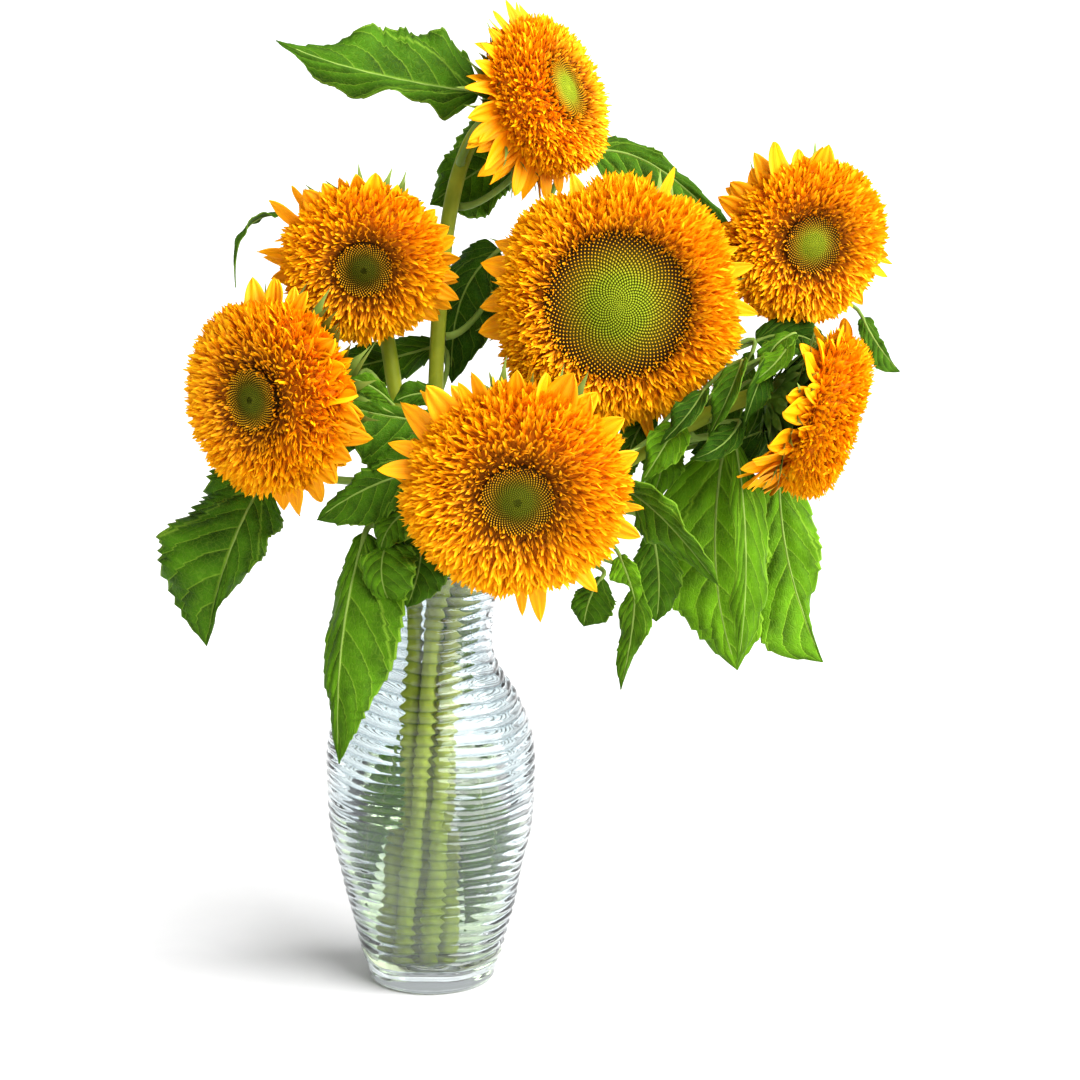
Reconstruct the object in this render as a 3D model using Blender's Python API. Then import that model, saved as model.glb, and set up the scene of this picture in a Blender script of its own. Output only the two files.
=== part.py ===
"""Seven double sunflowers with their leaves, standing in a clear glass vase of water.

Metres, +Z up. The vase stands on z = 0 with its axis on the Z axis, and -Y is the front.
Every bloom is built along its own +Z, which is the way it faces, under an empty that places it.
"""

import math
from collections import namedtuple

import bmesh
import bpy
from mathutils import Vector

GAP = 0.0003  # clearance between pieces that touch
MERGE = 1e-6
SHARP_ANGLE = math.radians(40)

# Vase: (radius, height) points of the outside, foot to lip.
VASE_OUTLINE = (
    (0.0325, 0.004),
    (0.0390, 0.027),
    (0.0452, 0.054),
    (0.0507, 0.080),
    (0.0527, 0.106),
    (0.0515, 0.130),
    (0.0435, 0.149),
    (0.0345, 0.164),
    (0.0312, 0.179),
    (0.0340, 0.199),
    (0.0425, 0.217),
)
VASE_SIDES = 28
VASE_STEPS = 22
FOOT_RADIUS = 0.0300
LIP_ROUND = 0.0010
WALL = 0.0035
FLOOR = 0.0120
WATER_LEVEL = 0.0910
WATER_STEPS = 8

# Stems: a bundle of seven, each standing on the vase's floor and leaving through the neck.
STEM_RADIUS = 0.0040
STEM_SPACING = 0.0104
NECK_HEIGHT = 0.1850
NECK_CENTRE = Vector((0.0020, -0.0070))
FLOOR_CENTRE = Vector((-0.0060, 0.0000))
FLOOR_SPREAD = 1.08
BUNDLE_TWIST = math.radians(-35)
STEM_STEPS = 12
STEM_TIP = 0.0040  # the straight end that meets the calyx
CUTTER_SIDES = 12

Bloom = namedtuple("Bloom", "centre facing radius disc slot lift approach")
# slot: place in the bundle, in degrees round its middle stem, or None for the middle one
# lift, approach: how far the stem goes straight up from the neck and straight into the calyx
BLOOMS = {
    "top": Bloom((0.058, 0.030, 0.446), (0.82, -0.44, 0.36), 0.045, 0.34, 90, 0.110, 0.040),
    "upper_left": Bloom((-0.031, 0.005, 0.368), (0.03, -0.96, -0.24), 0.044, 0.31, 150, 0.080, 0.030),
    "lower_left": Bloom((-0.074, -0.030, 0.306), (-0.60, -0.80, 0.02), 0.052, 0.29, 210, 0.050, 0.030),
    "centre": Bloom((0.093, -0.010, 0.349), (0.02, -0.99, 0.06), 0.064, 0.56, None, 0.060, 0.040),
    "upper_right": Bloom((0.188, 0.033, 0.375), (0.25, -0.96, -0.08), 0.044, 0.32, 30, 0.060, 0.040),
    "front": Bloom((0.045, -0.080, 0.271), (0.00, -0.975, -0.22), 0.057, 0.30, 270, 0.035, 0.020),
    "lower_right": Bloom((0.192, -0.025, 0.296), (0.95, -0.03, -0.30), 0.045, 0.30, 330, 0.042, 0.012),
}
BLOOM_SIDES = 16
BRACTS = 10
RAYS = 12
RAY_THICKNESS = 0.0012
# Heights and radii of a bloom's layers, as parts of its radius
CALYX_FOOT = -0.60
RIM = -0.255
RAY_INNER = 0.45
RAY_VALLEY = 0.72
RAY_TIP = 1.04
CALYX_OUTLINE = ((0.36, -0.46), (0.58, -0.33))
BRACT_TIP = 0.80
BRACT_VALLEY = 0.62
FLORET_OUTLINE = ((0.62, -0.255), (0.93, -0.170), (1.00, -0.020), (0.95, 0.160), (0.80, 0.300))
FLORET_CROWN = 0.360
DISC_DEPTH = 0.110
DISC_RISE = 0.060

Leaf = namedtuple("Leaf", "stem height base mid tip width face fold")
# stem, height: where the stalk joins; base, mid, tip: the blade's midrib
# face: the way the upper side looks; fold: how far both halves lift, in degrees
LEAVES = {
    "top_left": Leaf("top", 0.412, (0.023, 0.030, 0.449), (-0.018, 0.018, 0.459),
                     (-0.072, 0.000, 0.475), 0.046, (0.05, -0.75, 0.65), 14),
    "top_inner": Leaf("top", 0.392, (0.032, 0.066, 0.424), (0.018, 0.062, 0.406),
                      (0.006, 0.052, 0.384), 0.040, (-0.30, -0.90, 0.20), 10),
    "behind_centre": Leaf("top", 0.372, (0.078, 0.064, 0.412), (0.120, 0.066, 0.412),
                          (0.162, 0.056, 0.376), 0.042, (0.10, -0.85, 0.50), 10),
    "left_curl": Leaf("upper_left", 0.345, (-0.069, 0.034, 0.387), (-0.090, 0.026, 0.382),
                      (-0.095, 0.010, 0.354), 0.013, (-0.70, -0.30, 0.65), 30),
    "left_large": Leaf("lower_left", 0.262, (-0.080, 0.004, 0.272), (-0.094, -0.008, 0.226),
                       (-0.111, -0.004, 0.178), 0.062, (-0.25, -0.95, 0.15), 8),
    "mid_left": Leaf("lower_left", 0.238, (-0.018, -0.044, 0.264), (-0.034, -0.052, 0.260),
                     (-0.052, -0.050, 0.246), 0.030, (-0.25, -0.85, 0.30), 12),
    "mid_crest": Leaf("upper_left", 0.262, (-0.006, -0.026, 0.288), (-0.020, -0.036, 0.291),
                      (-0.036, -0.040, 0.282), 0.030, (0.10, -0.90, 0.40), 14),
    "behind_stem": Leaf("upper_left", 0.282, (-0.012, 0.038, 0.322), (-0.026, 0.038, 0.316),
                        (-0.045, 0.032, 0.307), 0.026, (0.00, -0.95, 0.30), 8),
    "centre_dark": Leaf("top", 0.328, (0.024, 0.038, 0.368), (0.014, 0.036, 0.344),
                        (-0.004, 0.030, 0.322), 0.038, (-0.25, -0.95, 0.10), 12),
    "neck_curl": Leaf("front", 0.232, (-0.018, -0.054, 0.249), (-0.026, -0.068, 0.232),
                      (-0.018, -0.070, 0.208), 0.024, (-0.35, -0.90, 0.20), 18),
    "neck_round": Leaf("front", 0.222, (0.001, -0.041, 0.240), (0.001, -0.050, 0.224),
                       (-0.004, -0.051, 0.203), 0.032, (0.05, -0.98, 0.15), 6),
    "over_vase": Leaf("lower_left", 0.226, (-0.027, -0.044, 0.236), (-0.030, -0.064, 0.192),
                      (-0.042, -0.064, 0.132), 0.038, (-0.10, -0.99, 0.05), 14),
    "right_big": Leaf("centre", 0.262, (0.135, 0.000, 0.270), (0.143, -0.006, 0.219),
                      (0.160, -0.002, 0.163), 0.070, (0.05, -0.98, 0.15), 8),
    "right_far": Leaf("upper_right", 0.275, (0.166, 0.020, 0.268), (0.184, 0.016, 0.218),
                      (0.198, 0.010, 0.163), 0.058, (0.15, -0.98, 0.10), 8),
    "right_narrow": Leaf("lower_right", 0.262, (0.149, -0.032, 0.276), (0.156, -0.048, 0.232),
                         (0.152, -0.040, 0.170), 0.024, (0.45, -0.88, 0.10), 24),
    "right_fold": Leaf("lower_right", 0.246, (0.104, -0.046, 0.270), (0.124, -0.054, 0.252),
                       (0.142, -0.052, 0.217), 0.026, (-0.30, -0.85, -0.35), 20),
    "right_light": Leaf("upper_right", 0.262, (0.124, -0.001, 0.283), (0.115, -0.009, 0.270),
                        (0.109, -0.013, 0.255), 0.026, (0.10, -0.97, 0.10), 10),
    "low_small": Leaf("lower_right", 0.234, (0.091, -0.030, 0.222), (0.083, -0.036, 0.209),
                      (0.075, -0.037, 0.193), 0.024, (-0.10, -0.97, 0.20), 12),
    "low_dark": Leaf("centre", 0.234, (0.106, -0.014, 0.240), (0.115, -0.022, 0.219),
                     (0.117, -0.022, 0.196), 0.026, (0.10, -0.98, 0.10), 8),
    "low_hang": Leaf("lower_right", 0.240, (0.102, -0.046, 0.214), (0.101, -0.052, 0.190),
                     (0.095, -0.048, 0.162), 0.018, (-0.20, -0.97, 0.05), 20),
    "curl_low": Leaf("upper_right", 0.305, (0.162, 0.022, 0.316), (0.150, 0.020, 0.302),
                     (0.138, 0.014, 0.281), 0.022, (-0.40, -0.85, 0.30), 26),
    "curl_high": Leaf("upper_right", 0.338, (0.176, 0.000, 0.331), (0.165, -0.010, 0.329),
                      (0.161, -0.012, 0.311), 0.020, (-0.50, -0.75, 0.40), 26),
    "right_tip": Leaf("upper_right", 0.345, (0.213, 0.062, 0.336), (0.227, 0.056, 0.326),
                      (0.238, 0.048, 0.307), 0.026, (0.20, -0.95, 0.25), 10),
}
BLADE_STEPS = 7
STALK_STEPS = 4
STALK_STUB = 0.0015  # the straight end that meets the stem
STALK_HALF_WIDTH = 0.0014
BLADE_THICKNESS = 0.0012
TIP_HALF_WIDTH = 0.0006
BLADE_SWELL = 0.62  # under 1 puts the widest place nearer the base
BLADE_FULLNESS = 0.75

# name: base colour, roughness, alpha
MATERIALS = {
    "glass": ((0.80, 0.90, 0.88), 0.05, 0.35),
    "water": ((0.82, 0.90, 0.80), 0.02, 0.40),
    "stem": ((0.30, 0.42, 0.10), 0.55, 1.0),
    "calyx": ((0.13, 0.27, 0.05), 0.60, 1.0),
    "ray": ((0.90, 0.52, 0.02), 0.50, 1.0),
    "floret": ((0.86, 0.36, 0.01), 0.60, 1.0),
    "disc": ((0.22, 0.24, 0.03), 0.70, 1.0),
    "leaf": ((0.09, 0.24, 0.03), 0.50, 1.0),
}


def clear_scene():
    for thing in list(bpy.data.objects):
        bpy.data.objects.remove(thing, do_unlink=True)


def make_material(name):
    colour, roughness, alpha = MATERIALS[name]
    material = bpy.data.materials.new(name)
    material.use_nodes = True
    shader = material.node_tree.nodes["Principled BSDF"]
    shader.inputs["Base Color"].default_value = (*colour, 1.0)
    shader.inputs["Roughness"].default_value = roughness
    shader.inputs["Alpha"].default_value = alpha
    return material


def add_object(name, data, material):
    """Links an object of the given mesh or curve to the scene."""
    thing = bpy.data.objects.new(name, data)
    thing.data.materials.append(material)
    bpy.context.scene.collection.objects.link(thing)
    return thing


def finish_mesh(name, bm, material):
    """Turns a bmesh into a smooth-shaded object."""
    mesh = bpy.data.meshes.new(name)
    bm.to_mesh(mesh)
    bm.free()
    mesh.shade_smooth()
    mesh.set_sharp_from_angle(angle=SHARP_ANGLE)
    return add_object(name, mesh, material)


def smooth_curve(points, steps):
    """Reads steps + 1 points from the Catmull-Rom curve through the given ones."""
    knots = [Vector(point) for point in points]
    knots.insert(0, 2 * knots[0] - knots[1])
    knots.append(2 * knots[-1] - knots[-2])
    spans = len(points) - 1
    curve = []
    for step in range(steps + 1):
        place = step * spans / steps
        span = min(int(place), spans - 1)
        t = place - span
        a, b, c, d = knots[span : span + 4]
        curve.append(
            0.5 * (2 * b + (c - a) * t + (2 * a - 5 * b + 4 * c - d) * t**2 + (3 * b - a - 3 * c + d) * t**3)
        )
    return curve


def bezier(start, pull_start, pull_end, end, t):
    """The point at t on a cubic Bezier curve."""
    u = 1 - t
    return u**3 * start + 3 * u * u * t * pull_start + 3 * u * t * t * pull_end + t**3 * end


def turned(outline, sides, closed=False):
    """A bmesh turned about Z from (radius, height) points, bottom to top up the outside."""
    bm = bmesh.new()
    verts = [bm.verts.new((radius, 0, height)) for radius, height in outline]
    ends = verts[1:] + verts[:1] if closed else verts[1:]
    edges = [bm.edges.new(pair) for pair in zip(verts, ends)]
    bmesh.ops.spin(bm, geom=verts + edges, axis=(0, 0, 1), cent=(0, 0, 0), angle=math.tau, steps=sides)
    bmesh.ops.remove_doubles(bm, verts=bm.verts, dist=MERGE)
    bmesh.ops.recalc_face_normals(bm, faces=bm.faces)
    return bm


def point_edge(bm, beyond, points, tip, valley):
    """Pulls the verts further out than beyond into points: every other one to tip, the rest to valley."""
    for vert in bm.verts:
        radius = vert.co.xy.length
        if radius > beyond:
            turn = math.atan2(vert.co.y, vert.co.x) / math.tau
            at_tip = round(turn * points * 2) % 2 == 0
            vert.co.xy *= (tip if at_tip else valley) / radius


# Vase and water


def vase_radius(height):
    """The vase's outer radius at a height."""
    for (low_radius, low), (high_radius, high) in zip(VASE_OUTLINE, VASE_OUTLINE[1:]):
        if height <= high:
            return low_radius + (high_radius - low_radius) * (height - low) / (high - low)
    return VASE_OUTLINE[-1][0]


def make_vase(material):
    outside = [(point.x, point.y) for point in smooth_curve(VASE_OUTLINE, VASE_STEPS)]
    inside = [(radius - WALL, height) for radius, height in outside if height > FLOOR + WALL]
    lip_radius, lip_height = outside[-1]
    lip = [(lip_radius - WALL / 2, lip_height + LIP_ROUND)]
    floor_edge = (inside[0][0] - WALL, FLOOR)
    outline = [(0, 0), (FOOT_RADIUS, 0)] + outside + lip + inside[::-1] + [floor_edge, (0, FLOOR)]
    finish_mesh("vase", turned(outline, VASE_SIDES), material)


def make_water(material, stems):
    """Fills the vase to the water level, round the stems."""
    low = FLOOR + WALL
    heights = [low + (WATER_LEVEL - low) * step / WATER_STEPS for step in range(WATER_STEPS + 1)]
    clear = WALL + 3 * GAP  # the vase's smooth wall bows in a little from straight spans
    wall = [(vase_radius(height) - clear, height) for height in heights]
    outline = [(0, FLOOR + GAP), (wall[0][0] - WALL, FLOOR + GAP)] + wall + [(0, WATER_LEVEL)]
    water = finish_mesh("water", turned(outline, VASE_SIDES), material)
    for name, points in stems.items():
        cut = water.modifiers.new(f"hole_{name}", "BOOLEAN")
        cut.object = make_stem_cutter(name, points, material)
        cut.operation = "DIFFERENCE"


def make_stem_cutter(name, points, material):
    """A straight rod, a little thicker than the stem's foot, through the water from below the floor."""
    foot, neck = points[0], points[1]
    along = (neck - foot).normalized()
    length = WATER_LEVEL + FLOOR
    bm = bmesh.new()
    radius = (STEM_RADIUS + GAP) / math.cos(math.pi / CUTTER_SIDES) + GAP
    bmesh.ops.create_cone(bm, cap_ends=True, segments=CUTTER_SIDES, radius1=radius, radius2=radius, depth=length)
    cutter = finish_mesh(f"cutter_{name}", bm, material)
    cutter.location = foot + along * (length / 2 - FLOOR)
    cutter.rotation_mode = "QUATERNION"
    cutter.rotation_quaternion = along.to_track_quat("Z", "Y")
    cutter.hide_render = True
    cutter.display_type = "WIRE"
    return cutter


# Stems


def bundle_place(bloom):
    """A stem's place across the bundle, from the bundle's middle."""
    if bloom.slot is None:
        return Vector((0.0, 0.0))
    angle = math.radians(bloom.slot)
    return STEM_SPACING * Vector((math.cos(angle), math.sin(angle)))


def turn_flat(place, angle):
    """A flat vector turned about the origin."""
    return Vector((
        place.x * math.cos(angle) - place.y * math.sin(angle),
        place.x * math.sin(angle) + place.y * math.cos(angle),
    ))


def stem_points(bloom):
    """A stem's centre line, from the vase's floor through the neck to the calyx."""
    place = bundle_place(bloom)
    neck = (NECK_CENTRE + place).to_3d()
    neck.z = NECK_HEIGHT
    foot = (FLOOR_CENTRE + FLOOR_SPREAD * turn_flat(place, BUNDLE_TWIST)).to_3d()
    lean = (neck - foot).xy.length / NECK_HEIGHT
    foot.z = FLOOR + GAP + STEM_RADIUS * lean
    rise = (neck - foot).normalized()
    facing = Vector(bloom.facing).normalized()
    end = Vector(bloom.centre) + facing * (CALYX_FOOT * bloom.radius - GAP)
    joint = end - facing * STEM_TIP
    pull_start = neck + rise * bloom.lift
    pull_end = joint - facing * bloom.approach
    bend = [bezier(neck, pull_start, pull_end, joint, step / STEM_STEPS) for step in range(STEM_STEPS + 1)]
    return [foot] + bend + [end]


def make_stem(name, points, material):
    curve = bpy.data.curves.new(f"stem_{name}", "CURVE")
    curve.dimensions = "3D"
    curve.bevel_depth = STEM_RADIUS
    curve.bevel_resolution = 2
    curve.use_fill_caps = True
    curve.render_resolution_u = 0
    spline = curve.splines.new("POLY")
    spline.points.add(len(points) - 1)
    for knot, point in zip(spline.points, points):
        knot.co = (*point, 1.0)
    add_object(f"stem_{name}", curve, material)


# Blooms


def bloom_frame(name, bloom):
    """The empty that a bloom's pieces hang from: its +Z is the way the bloom faces."""
    frame = bpy.data.objects.new(f"bloom_{name}", None)
    bpy.context.scene.collection.objects.link(frame)
    frame.location = bloom.centre
    frame.rotation_mode = "QUATERNION"
    frame.rotation_quaternion = Vector(bloom.facing).to_track_quat("Z", "Y")
    return frame


def scaled(points, size):
    return [(radius * size, height * size) for radius, height in points]


def make_calyx(name, size, material):
    """The green cup under a bloom, with its rim drawn out into bracts."""
    foot = [(0, CALYX_FOOT * size), (STEM_RADIUS + 4 * GAP, CALYX_FOOT * size)]
    rim_height = RIM * size - RAY_THICKNESS - 2 * GAP
    rim = [(BRACT_TIP * size, rim_height - GAP), (CALYX_OUTLINE[-1][0] * size, rim_height), (0, rim_height)]
    bm = turned(foot + scaled(CALYX_OUTLINE, size) + rim, BRACTS * 2)
    point_edge(bm, BRACT_VALLEY * size, BRACTS, BRACT_TIP * size, BRACT_VALLEY * size)
    return finish_mesh(f"calyx_{name}", bm, material)


def make_rays(name, size, material):
    """The flat ring of pointed ray petals between calyx and florets."""
    top = RIM * size - GAP
    low = top - RAY_THICKNESS
    ring = [(RAY_INNER * size, low), (RAY_VALLEY * size, low), (RAY_TIP * size, (low + top) / 2)]
    ring += [(RAY_VALLEY * size, top), (RAY_INNER * size, top)]
    bm = turned(ring, RAYS * 2, closed=True)
    point_edge(bm, (RAY_VALLEY + RAY_TIP) / 2 * size, RAYS, RAY_TIP * size, (RAY_VALLEY + 0.06) * size)
    return finish_mesh(f"rays_{name}", bm, material)


def make_florets(name, size, disc, material):
    """The dense ruff of florets: a dome with a hollow on top for the disc."""
    side = scaled(FLORET_OUTLINE, size)
    crown = [((disc + 0.14) * size, FLORET_CROWN * size), (disc * size + GAP, (FLORET_CROWN - 0.01) * size)]
    hollow_floor = (FLORET_CROWN - DISC_DEPTH) * size
    hollow = [(disc * size + GAP, hollow_floor), (0, hollow_floor)]
    bm = turned([(0, RIM * size)] + side + crown + hollow, BLOOM_SIDES)
    return finish_mesh(f"florets_{name}", bm, material)


def make_disc(name, size, disc, material):
    """The domed eye of a bloom."""
    radius = disc * size - GAP
    low = (FLORET_CROWN - DISC_DEPTH) * size + GAP
    edge = FLORET_CROWN * size
    outline = [(0, low), (radius, low), (radius, edge)]
    outline += [(radius * 0.6, edge + DISC_RISE * disc * size), (0, edge + DISC_RISE * disc * size)]
    return finish_mesh(f"disc_{name}", turned(outline, BLOOM_SIDES), material)


def make_bloom(name, bloom, materials):
    pieces = (
        make_calyx(name, bloom.radius, materials["calyx"]),
        make_rays(name, bloom.radius, materials["ray"]),
        make_florets(name, bloom.radius, bloom.disc, materials["floret"]),
        make_disc(name, bloom.radius, bloom.disc, materials["disc"]),
    )
    frame = bloom_frame(name, bloom)
    for piece in pieces:
        piece.parent = frame


# Leaves


def stem_place(points, height):
    """The point on a stem at a height, and the stem's direction there."""
    for low, high in zip(points, points[1:]):
        if low.z <= height <= high.z:
            return low.lerp(high, (height - low.z) / (high.z - low.z)), (high - low).normalized()
    raise ValueError(f"no stem at height {height}")


def blade_half_width(leaf, t):
    """Half the blade's width at t, from 0 at its base to 1 at its tip."""
    swell = max(math.sin(math.pi * t**BLADE_SWELL), 0.0) ** BLADE_FULLNESS
    return max(leaf.width / 2 * swell, TIP_HALF_WIDTH)


def leaf_rows(leaf, stem):
    """The leaf's centre line as (point, half width), from the stem to the tip."""
    joint, along = stem_place(stem, leaf.height)
    base, mid, tip = Vector(leaf.base), Vector(leaf.mid), Vector(leaf.tip)
    bend = 2 * mid - (base + tip) / 2
    out = base - joint
    out = (out - out.dot(along) * along).normalized()
    foot = joint + out * (STEM_RADIUS + GAP)
    start = foot + out * STALK_STUB
    reach = (base - start).length / 3
    pull_end = base - (bend - base).normalized() * reach
    rows = [(foot, STALK_HALF_WIDTH)]
    for step in range(STALK_STEPS):
        t = step / (STALK_STEPS - 1)
        rows.append((bezier(start, start + out * reach, pull_end, base, t), STALK_HALF_WIDTH))
    for step in range(1, BLADE_STEPS + 1):
        t = step / BLADE_STEPS
        point = (1 - t) ** 2 * base + 2 * t * (1 - t) * bend + t * t * tip
        rows.append((point, blade_half_width(leaf, t)))
    return rows


def row_axes(points, face):
    """Each row's sideways and upward directions, carried from the blade back down the stalk."""
    count = len(points)
    axes = [None] * count
    side = None
    for row in reversed(range(count)):
        ahead = points[min(row + 1, count - 1)] - points[max(row - 1, 0)]
        ahead.normalize()
        if row >= STALK_STEPS:
            side = ahead.cross(face)
        side = (side - side.dot(ahead) * ahead).normalized()
        axes[row] = (side, side.cross(ahead))
    return axes


def leaf_section(bm, centre, half_width, side, up, fold, stalk):
    """Four verts round a leaf at one row: left edge, upper midrib, right edge, lower midrib."""
    lift = up * (half_width * math.sin(fold))
    spread = side * (half_width * math.cos(fold))
    half_thickness = up * (STALK_HALF_WIDTH if stalk else BLADE_THICKNESS / 2)
    if stalk:
        lift = Vector()
    corners = (centre - spread + lift, centre + half_thickness, centre + spread + lift, centre - half_thickness)
    return [bm.verts.new(corner) for corner in corners]


def make_leaf(name, leaf, stem, material):
    """One closed blade with its stalk: four-cornered sections joined into a skin."""
    rows = leaf_rows(leaf, stem)
    axes = row_axes([point for point, _ in rows], Vector(leaf.face).normalized())
    fold = math.radians(leaf.fold)
    bm = bmesh.new()
    sections = [
        leaf_section(bm, point, half_width, side, up, fold, row <= STALK_STEPS)
        for row, ((point, half_width), (side, up)) in enumerate(zip(rows, axes))
    ]
    for near, far in zip(sections, sections[1:]):
        for edge, rib, way in ((0, 1, 1), (2, 1, -1), (2, 3, 1), (0, 3, -1)):
            bm.faces.new((near[edge], near[rib], far[edge])[::way])
            bm.faces.new((near[rib], far[rib], far[edge])[::way])
    bm.faces.new(sections[0][::-1])
    bm.faces.new(sections[-1])
    finish_mesh(f"leaf_{name}", bm, material)


def main():
    clear_scene()
    materials = {name: make_material(name) for name in MATERIALS}
    stems = {name: stem_points(bloom) for name, bloom in BLOOMS.items()}
    make_vase(materials["glass"])
    make_water(materials["water"], stems)
    for name, points in stems.items():
        make_stem(name, points, materials["stem"])
        make_bloom(name, BLOOMS[name], materials)
    for name, leaf in LEAVES.items():
        make_leaf(name, leaf, stems[leaf.stem], materials["leaf"])


main()
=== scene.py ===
import math
from collections import namedtuple

import bpy
import numpy as np
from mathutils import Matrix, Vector


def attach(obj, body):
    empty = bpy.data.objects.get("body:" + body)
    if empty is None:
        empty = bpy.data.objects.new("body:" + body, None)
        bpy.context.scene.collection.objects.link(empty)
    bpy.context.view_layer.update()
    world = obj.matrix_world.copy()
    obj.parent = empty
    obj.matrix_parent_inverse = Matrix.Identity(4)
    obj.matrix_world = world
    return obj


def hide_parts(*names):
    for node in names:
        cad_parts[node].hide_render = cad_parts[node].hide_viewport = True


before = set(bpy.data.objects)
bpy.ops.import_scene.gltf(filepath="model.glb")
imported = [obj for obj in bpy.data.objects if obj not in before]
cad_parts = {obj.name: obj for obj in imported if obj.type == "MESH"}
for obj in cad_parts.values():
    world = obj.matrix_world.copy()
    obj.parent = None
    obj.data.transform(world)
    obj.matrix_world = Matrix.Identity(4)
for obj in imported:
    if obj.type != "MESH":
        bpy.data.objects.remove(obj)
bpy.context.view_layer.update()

# Everything is in metres unless a comment says otherwise, with the vase's axis on Z, its foot on
# z = 0 and -Y the front. The vase, blooms and stems repeat the frame's own places. The leaves follow
# the frame's to within about 20 mm, with outlines and curves that the frame's plain blades lack.

BODY = "root"
UV = "OFBake"
AXIS = np.array([0.0, 0.0, 1.0])
GOLDEN_ANGLE = math.pi * (3 - math.sqrt(5))

# The vase's outline as (radius, height), from the foot to the rim.
VASE_OUTLINE = (
    (0.0325, 0.004),
    (0.0390, 0.027),
    (0.0452, 0.054),
    (0.0507, 0.080),
    (0.0527, 0.106),
    (0.0515, 0.130),
    (0.0435, 0.149),
    (0.0345, 0.164),
    (0.0312, 0.179),
    (0.0340, 0.199),
    (0.0425, 0.217),
)
FOOT_RADIUS = 0.0300
FOOT_ROUND = (0.0025, 0.004)  # how far the foot's rounded edge reaches out and up
LIP_HEIGHT = 0.0012
WALL = 0.0035
VASE_FLOOR = 0.0120
WATER_LEVEL = 0.0910
WATER_GAP = 0.0004
WATER_EDGE = ((0.0, 0.0008), (0.0010, 0.0002), (0.0030, 0.0))  # inward and up, where it climbs the glass
RIB_PITCH = 0.0054
RIB_DEPTH = 0.00187
INNER_RIB_DEPTH = 0.0006
RIB_ROUND = 0.8
RIB_ENDS = (0.006, 0.2165)  # the ribs fade out over RIB_FADE at the foot and at the rim
RIB_FADE = 0.008

STEM_RADIUS = 0.0040
STEM_SPACING = 0.0104
NECK_HEIGHT = 0.1850
NECK_CENTRE = (0.0020, -0.0070)
FLOOR_CENTRE = (-0.0060, 0.0000)
FLOOR_SPREAD = 1.08
BUNDLE_TWIST = math.radians(-35)
STEM_STEPS = 36
CALYX_FOOT = -0.60
RIM = -0.255

# disc: the eye's radius as a part of the bloom's; slot: the stem's place round the bundle in degrees,
# or None for its middle; lift, approach: how far the stem's curve is pulled at the neck and at the
# calyx; tint: how dark the eye is, from 0 for a fresh green one to 1 for an olive-brown one.
Bloom = namedtuple("Bloom", "centre facing radius disc slot lift approach florets tint")
BLOOMS = {
    "top": Bloom((0.058, 0.030, 0.446), (0.82, -0.44, 0.36), 0.045, 0.34,
                 90, 0.110, 0.040, 3200, 0.0),
    "upper_left": Bloom((-0.031, 0.005, 0.368), (0.03, -0.96, -0.24), 0.044, 0.31,
                        150, 0.080, 0.030, 2400, 0.9),
    "lower_left": Bloom((-0.074, -0.030, 0.306), (-0.60, -0.80, 0.02), 0.052, 0.29,
                        210, 0.050, 0.030, 3200, 0.8),
    "centre": Bloom((0.093, -0.010, 0.349), (0.02, -0.99, 0.06), 0.064, 0.56,
                    None, 0.060, 0.040, 4900, 0.10),
    "upper_right": Bloom((0.188, 0.033, 0.375), (0.25, -0.96, -0.08), 0.044, 0.32,
                         30, 0.060, 0.040, 3000, 0.1),
    "front": Bloom((0.045, -0.080, 0.271), (0.00, -0.975, -0.22), 0.057, 0.30,
                   270, 0.035, 0.020, 3800, 0.75),
    "lower_right": Bloom((0.192, -0.025, 0.296), (0.95, -0.03, -0.30), 0.045, 0.30,
                         330, 0.042, 0.012, 3600, 0.4),
}

# How steeply a floret stands on the bloom's plane in degrees, and its size, at shares of the way
# from the eye (0) to the rim (1). A floret's rows are (place along it, share of its width).
FLORET_SHARES = (0.0, 0.10, 0.30, 0.60, 0.85, 1.0)
FLORET_TILTS = (66, 46, 30, 16, 2, -16)
FLORET_LENGTHS = (0.0042, 0.0078, 0.0112, 0.0128, 0.0132, 0.0125)
FLORET_WIDTHS = (0.0011, 0.0013, 0.0016, 0.0019, 0.0023, 0.0026)
FLORET_ROWS = ((0.0, 0.5), (0.35, 0.85), (0.7, 1.0), (0.88, 0.66))
FLORET_SIZE_RADIUS = 0.055  # the bloom's radius that the lengths are for
RAY_ROOT = 0.60  # how far out a ray petal starts, as a part of the bloom's radius
RAY_BREADTH = 1.25  # ray petals are made this much broader than their table says

# The eye: its dome's height and depth as parts of the bloom's radius, and how many buds an eye of
# DISC_SIZE_RADIUS has. A spread of a half would space them evenly; more packs them to the middle.
DISC_HEIGHT = 0.30
DISC_DEPTH = 0.24
DISC_BUDS = 1750
DISC_SIZE_RADIUS = 0.036
DISC_SPREAD = 0.62

# Rings of bracts: how many, the root's distance out and depth behind the bloom's plane, how far they
# lean forward, and their length, all but the first as parts of the bloom's radius.
BRACT_RINGS = ((14, 0.20, 0.575, 0.55, 0.34), (18, 0.34, 0.50, 0.60, 0.38), (22, 0.45, 0.41, 0.45, 0.46),
               (24, 0.54, 0.32, 0.10, 0.46))
BRACT_ROWS = ((0.0, 0.8), (0.2, 1.0), (0.4, 0.85), (0.58, 0.5), (0.74, 0.25), (0.88, 0.12))

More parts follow.
